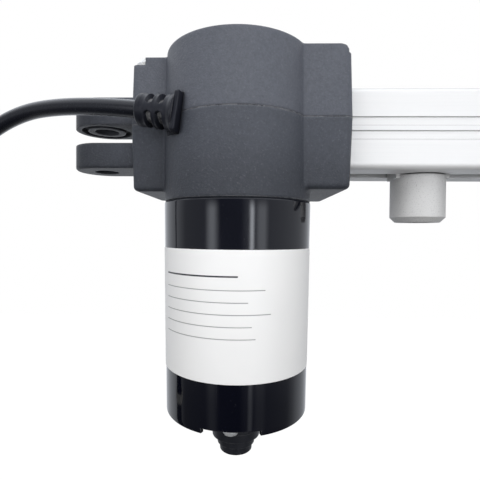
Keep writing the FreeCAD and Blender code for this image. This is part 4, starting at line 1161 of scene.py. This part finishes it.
# Bars from the middle of the strap's front: the head's floor, roof and two sides, and the end.
front = Vector((TIE.x, TIE.y - HALF_Y, MIDDLE))
BARS = [((-3.0, -2.6, -3.3), (1.6, -0.6, -2.4)), ((-3.0, -2.6, 2.4), (1.6, -0.6, 3.3))]
BARS += [((-3.0, -2.6, -3.3), (-1.9, -0.6, 3.3)), ((0.5, -2.6, -3.3), (1.6, -0.6, 3.3))]
BARS += [((-1.2, -4.6, -2.2), (-0.1, -0.8, 2.2))]
for low, high in BARS:
    block(mesh, front + Vector(low), front + Vector(high))
new_piece("hank_tie", mesh, "nylon_white", "lead_tie", bevel=0.18, smooth=False)

# %% [markdown]
# ## Plug
# The two-pole plug that such actuators have: a flat rubber shell with rounded sides, a soft
# waist, grip ribs on its wide faces, a neck that the lead goes into, and two sockets in its
# mouth. Rings from neck to mouth give the shell; the sockets are left open round the contacts.

# %% Shell of the plug
PLUG = Vector((x0, y0 - 18.0, z0 - 106.05))
MOUTH_Z, SOCKET_Z = -17.0, -8.0
SOCKET_OUT, SOCKET_R = 3.1, 1.9


def oval(z, half_x, half_y, power):
    """A ring of points, from an ellipse (power 2) to nearly a rectangle (power 6)."""
    ring = []
    for c, s in circle(96):
        x = copysign(abs(c) ** (2 / power), c) * half_x
        y = copysign(abs(s) ** (2 / power), s) * half_y
        ring.append(PLUG + Vector((x, y, z)))
    return ring


mesh = bmesh.new()
# Height, half width, half thickness and squareness: a neck with three folds, the shoulders,
# then the body with five grip ribs.
levels = [(6.0, 2.55, 2.55, 2), (6.0, 3.2, 3.2, 2), (5.7, 3.5, 3.5, 2)]
for k in range(3):
    z = 4.9 - 1.6 * k
    levels += [(z, 3.55, 3.55, 2), (z - 0.15, 3.15, 3.15, 2)]
    levels += [(z - 0.65, 3.15, 3.15, 2), (z - 0.8, 3.58, 3.58, 2)]
levels += [(0.35, 3.6, 3.6, 2), (0.0, 4.6, 3.7, 2.4), (-0.5, 5.9, 4.0, 3.4)]
levels += [(-1.1, 6.35, 4.15, 4.4)]
for k in range(5):
    z = -2.4 - 1.7 * k
    levels += [(z, 6.4, 4.15, 5), (z - 0.2, 6.3, 3.75, 5)]
    levels += [(z - 0.75, 6.3, 3.75, 5), (z - 0.95, 6.4, 4.15, 5)]
levels += [(-12.2, 6.4, 4.15, 5), (-16.5, 6.5, 4.2, 5), (MOUTH_Z, 6.2, 3.9, 5)]
shell = skin(mesh, [oval(*level) for level in levels], caps=False)
mesh.faces.new(shell[0])
print("rings from neck to mouth:", len(levels))

# %% [markdown]
# Each socket is a round hole with a floor. The mouth's face is then filled between the shell's
# last ring and the two holes' rims, which leaves the holes open.

# %% Sockets of the plug
mouths = []
for side in (-SOCKET_OUT, SOCKET_OUT):
    hole = []
    for z in (MOUTH_Z, SOCKET_Z):
        ring = [Vector((side + SOCKET_R * c, SOCKET_R * s, z)) for c, s in circle(48)]
        hole.append([PLUG + p for p in ring])
    wall = skin(mesh, hole, caps=False)
    mesh.faces.new(wall[1])
    mouths.append(wall[0])
rim_edges = []
for loop in (shell[-1], *mouths):
    for a, b in zip(loop, loop[1:] + loop[:1]):
        rim_edges.append(mesh.edges.get((a, b)))
bmesh.ops.triangle_fill(mesh, use_beauty=True, edges=rim_edges)
new_piece("plug_shell", mesh, "lead_rubber", "lead_plug", bevel=0.12)

# About 1 m is what such an actuator has to its plug.
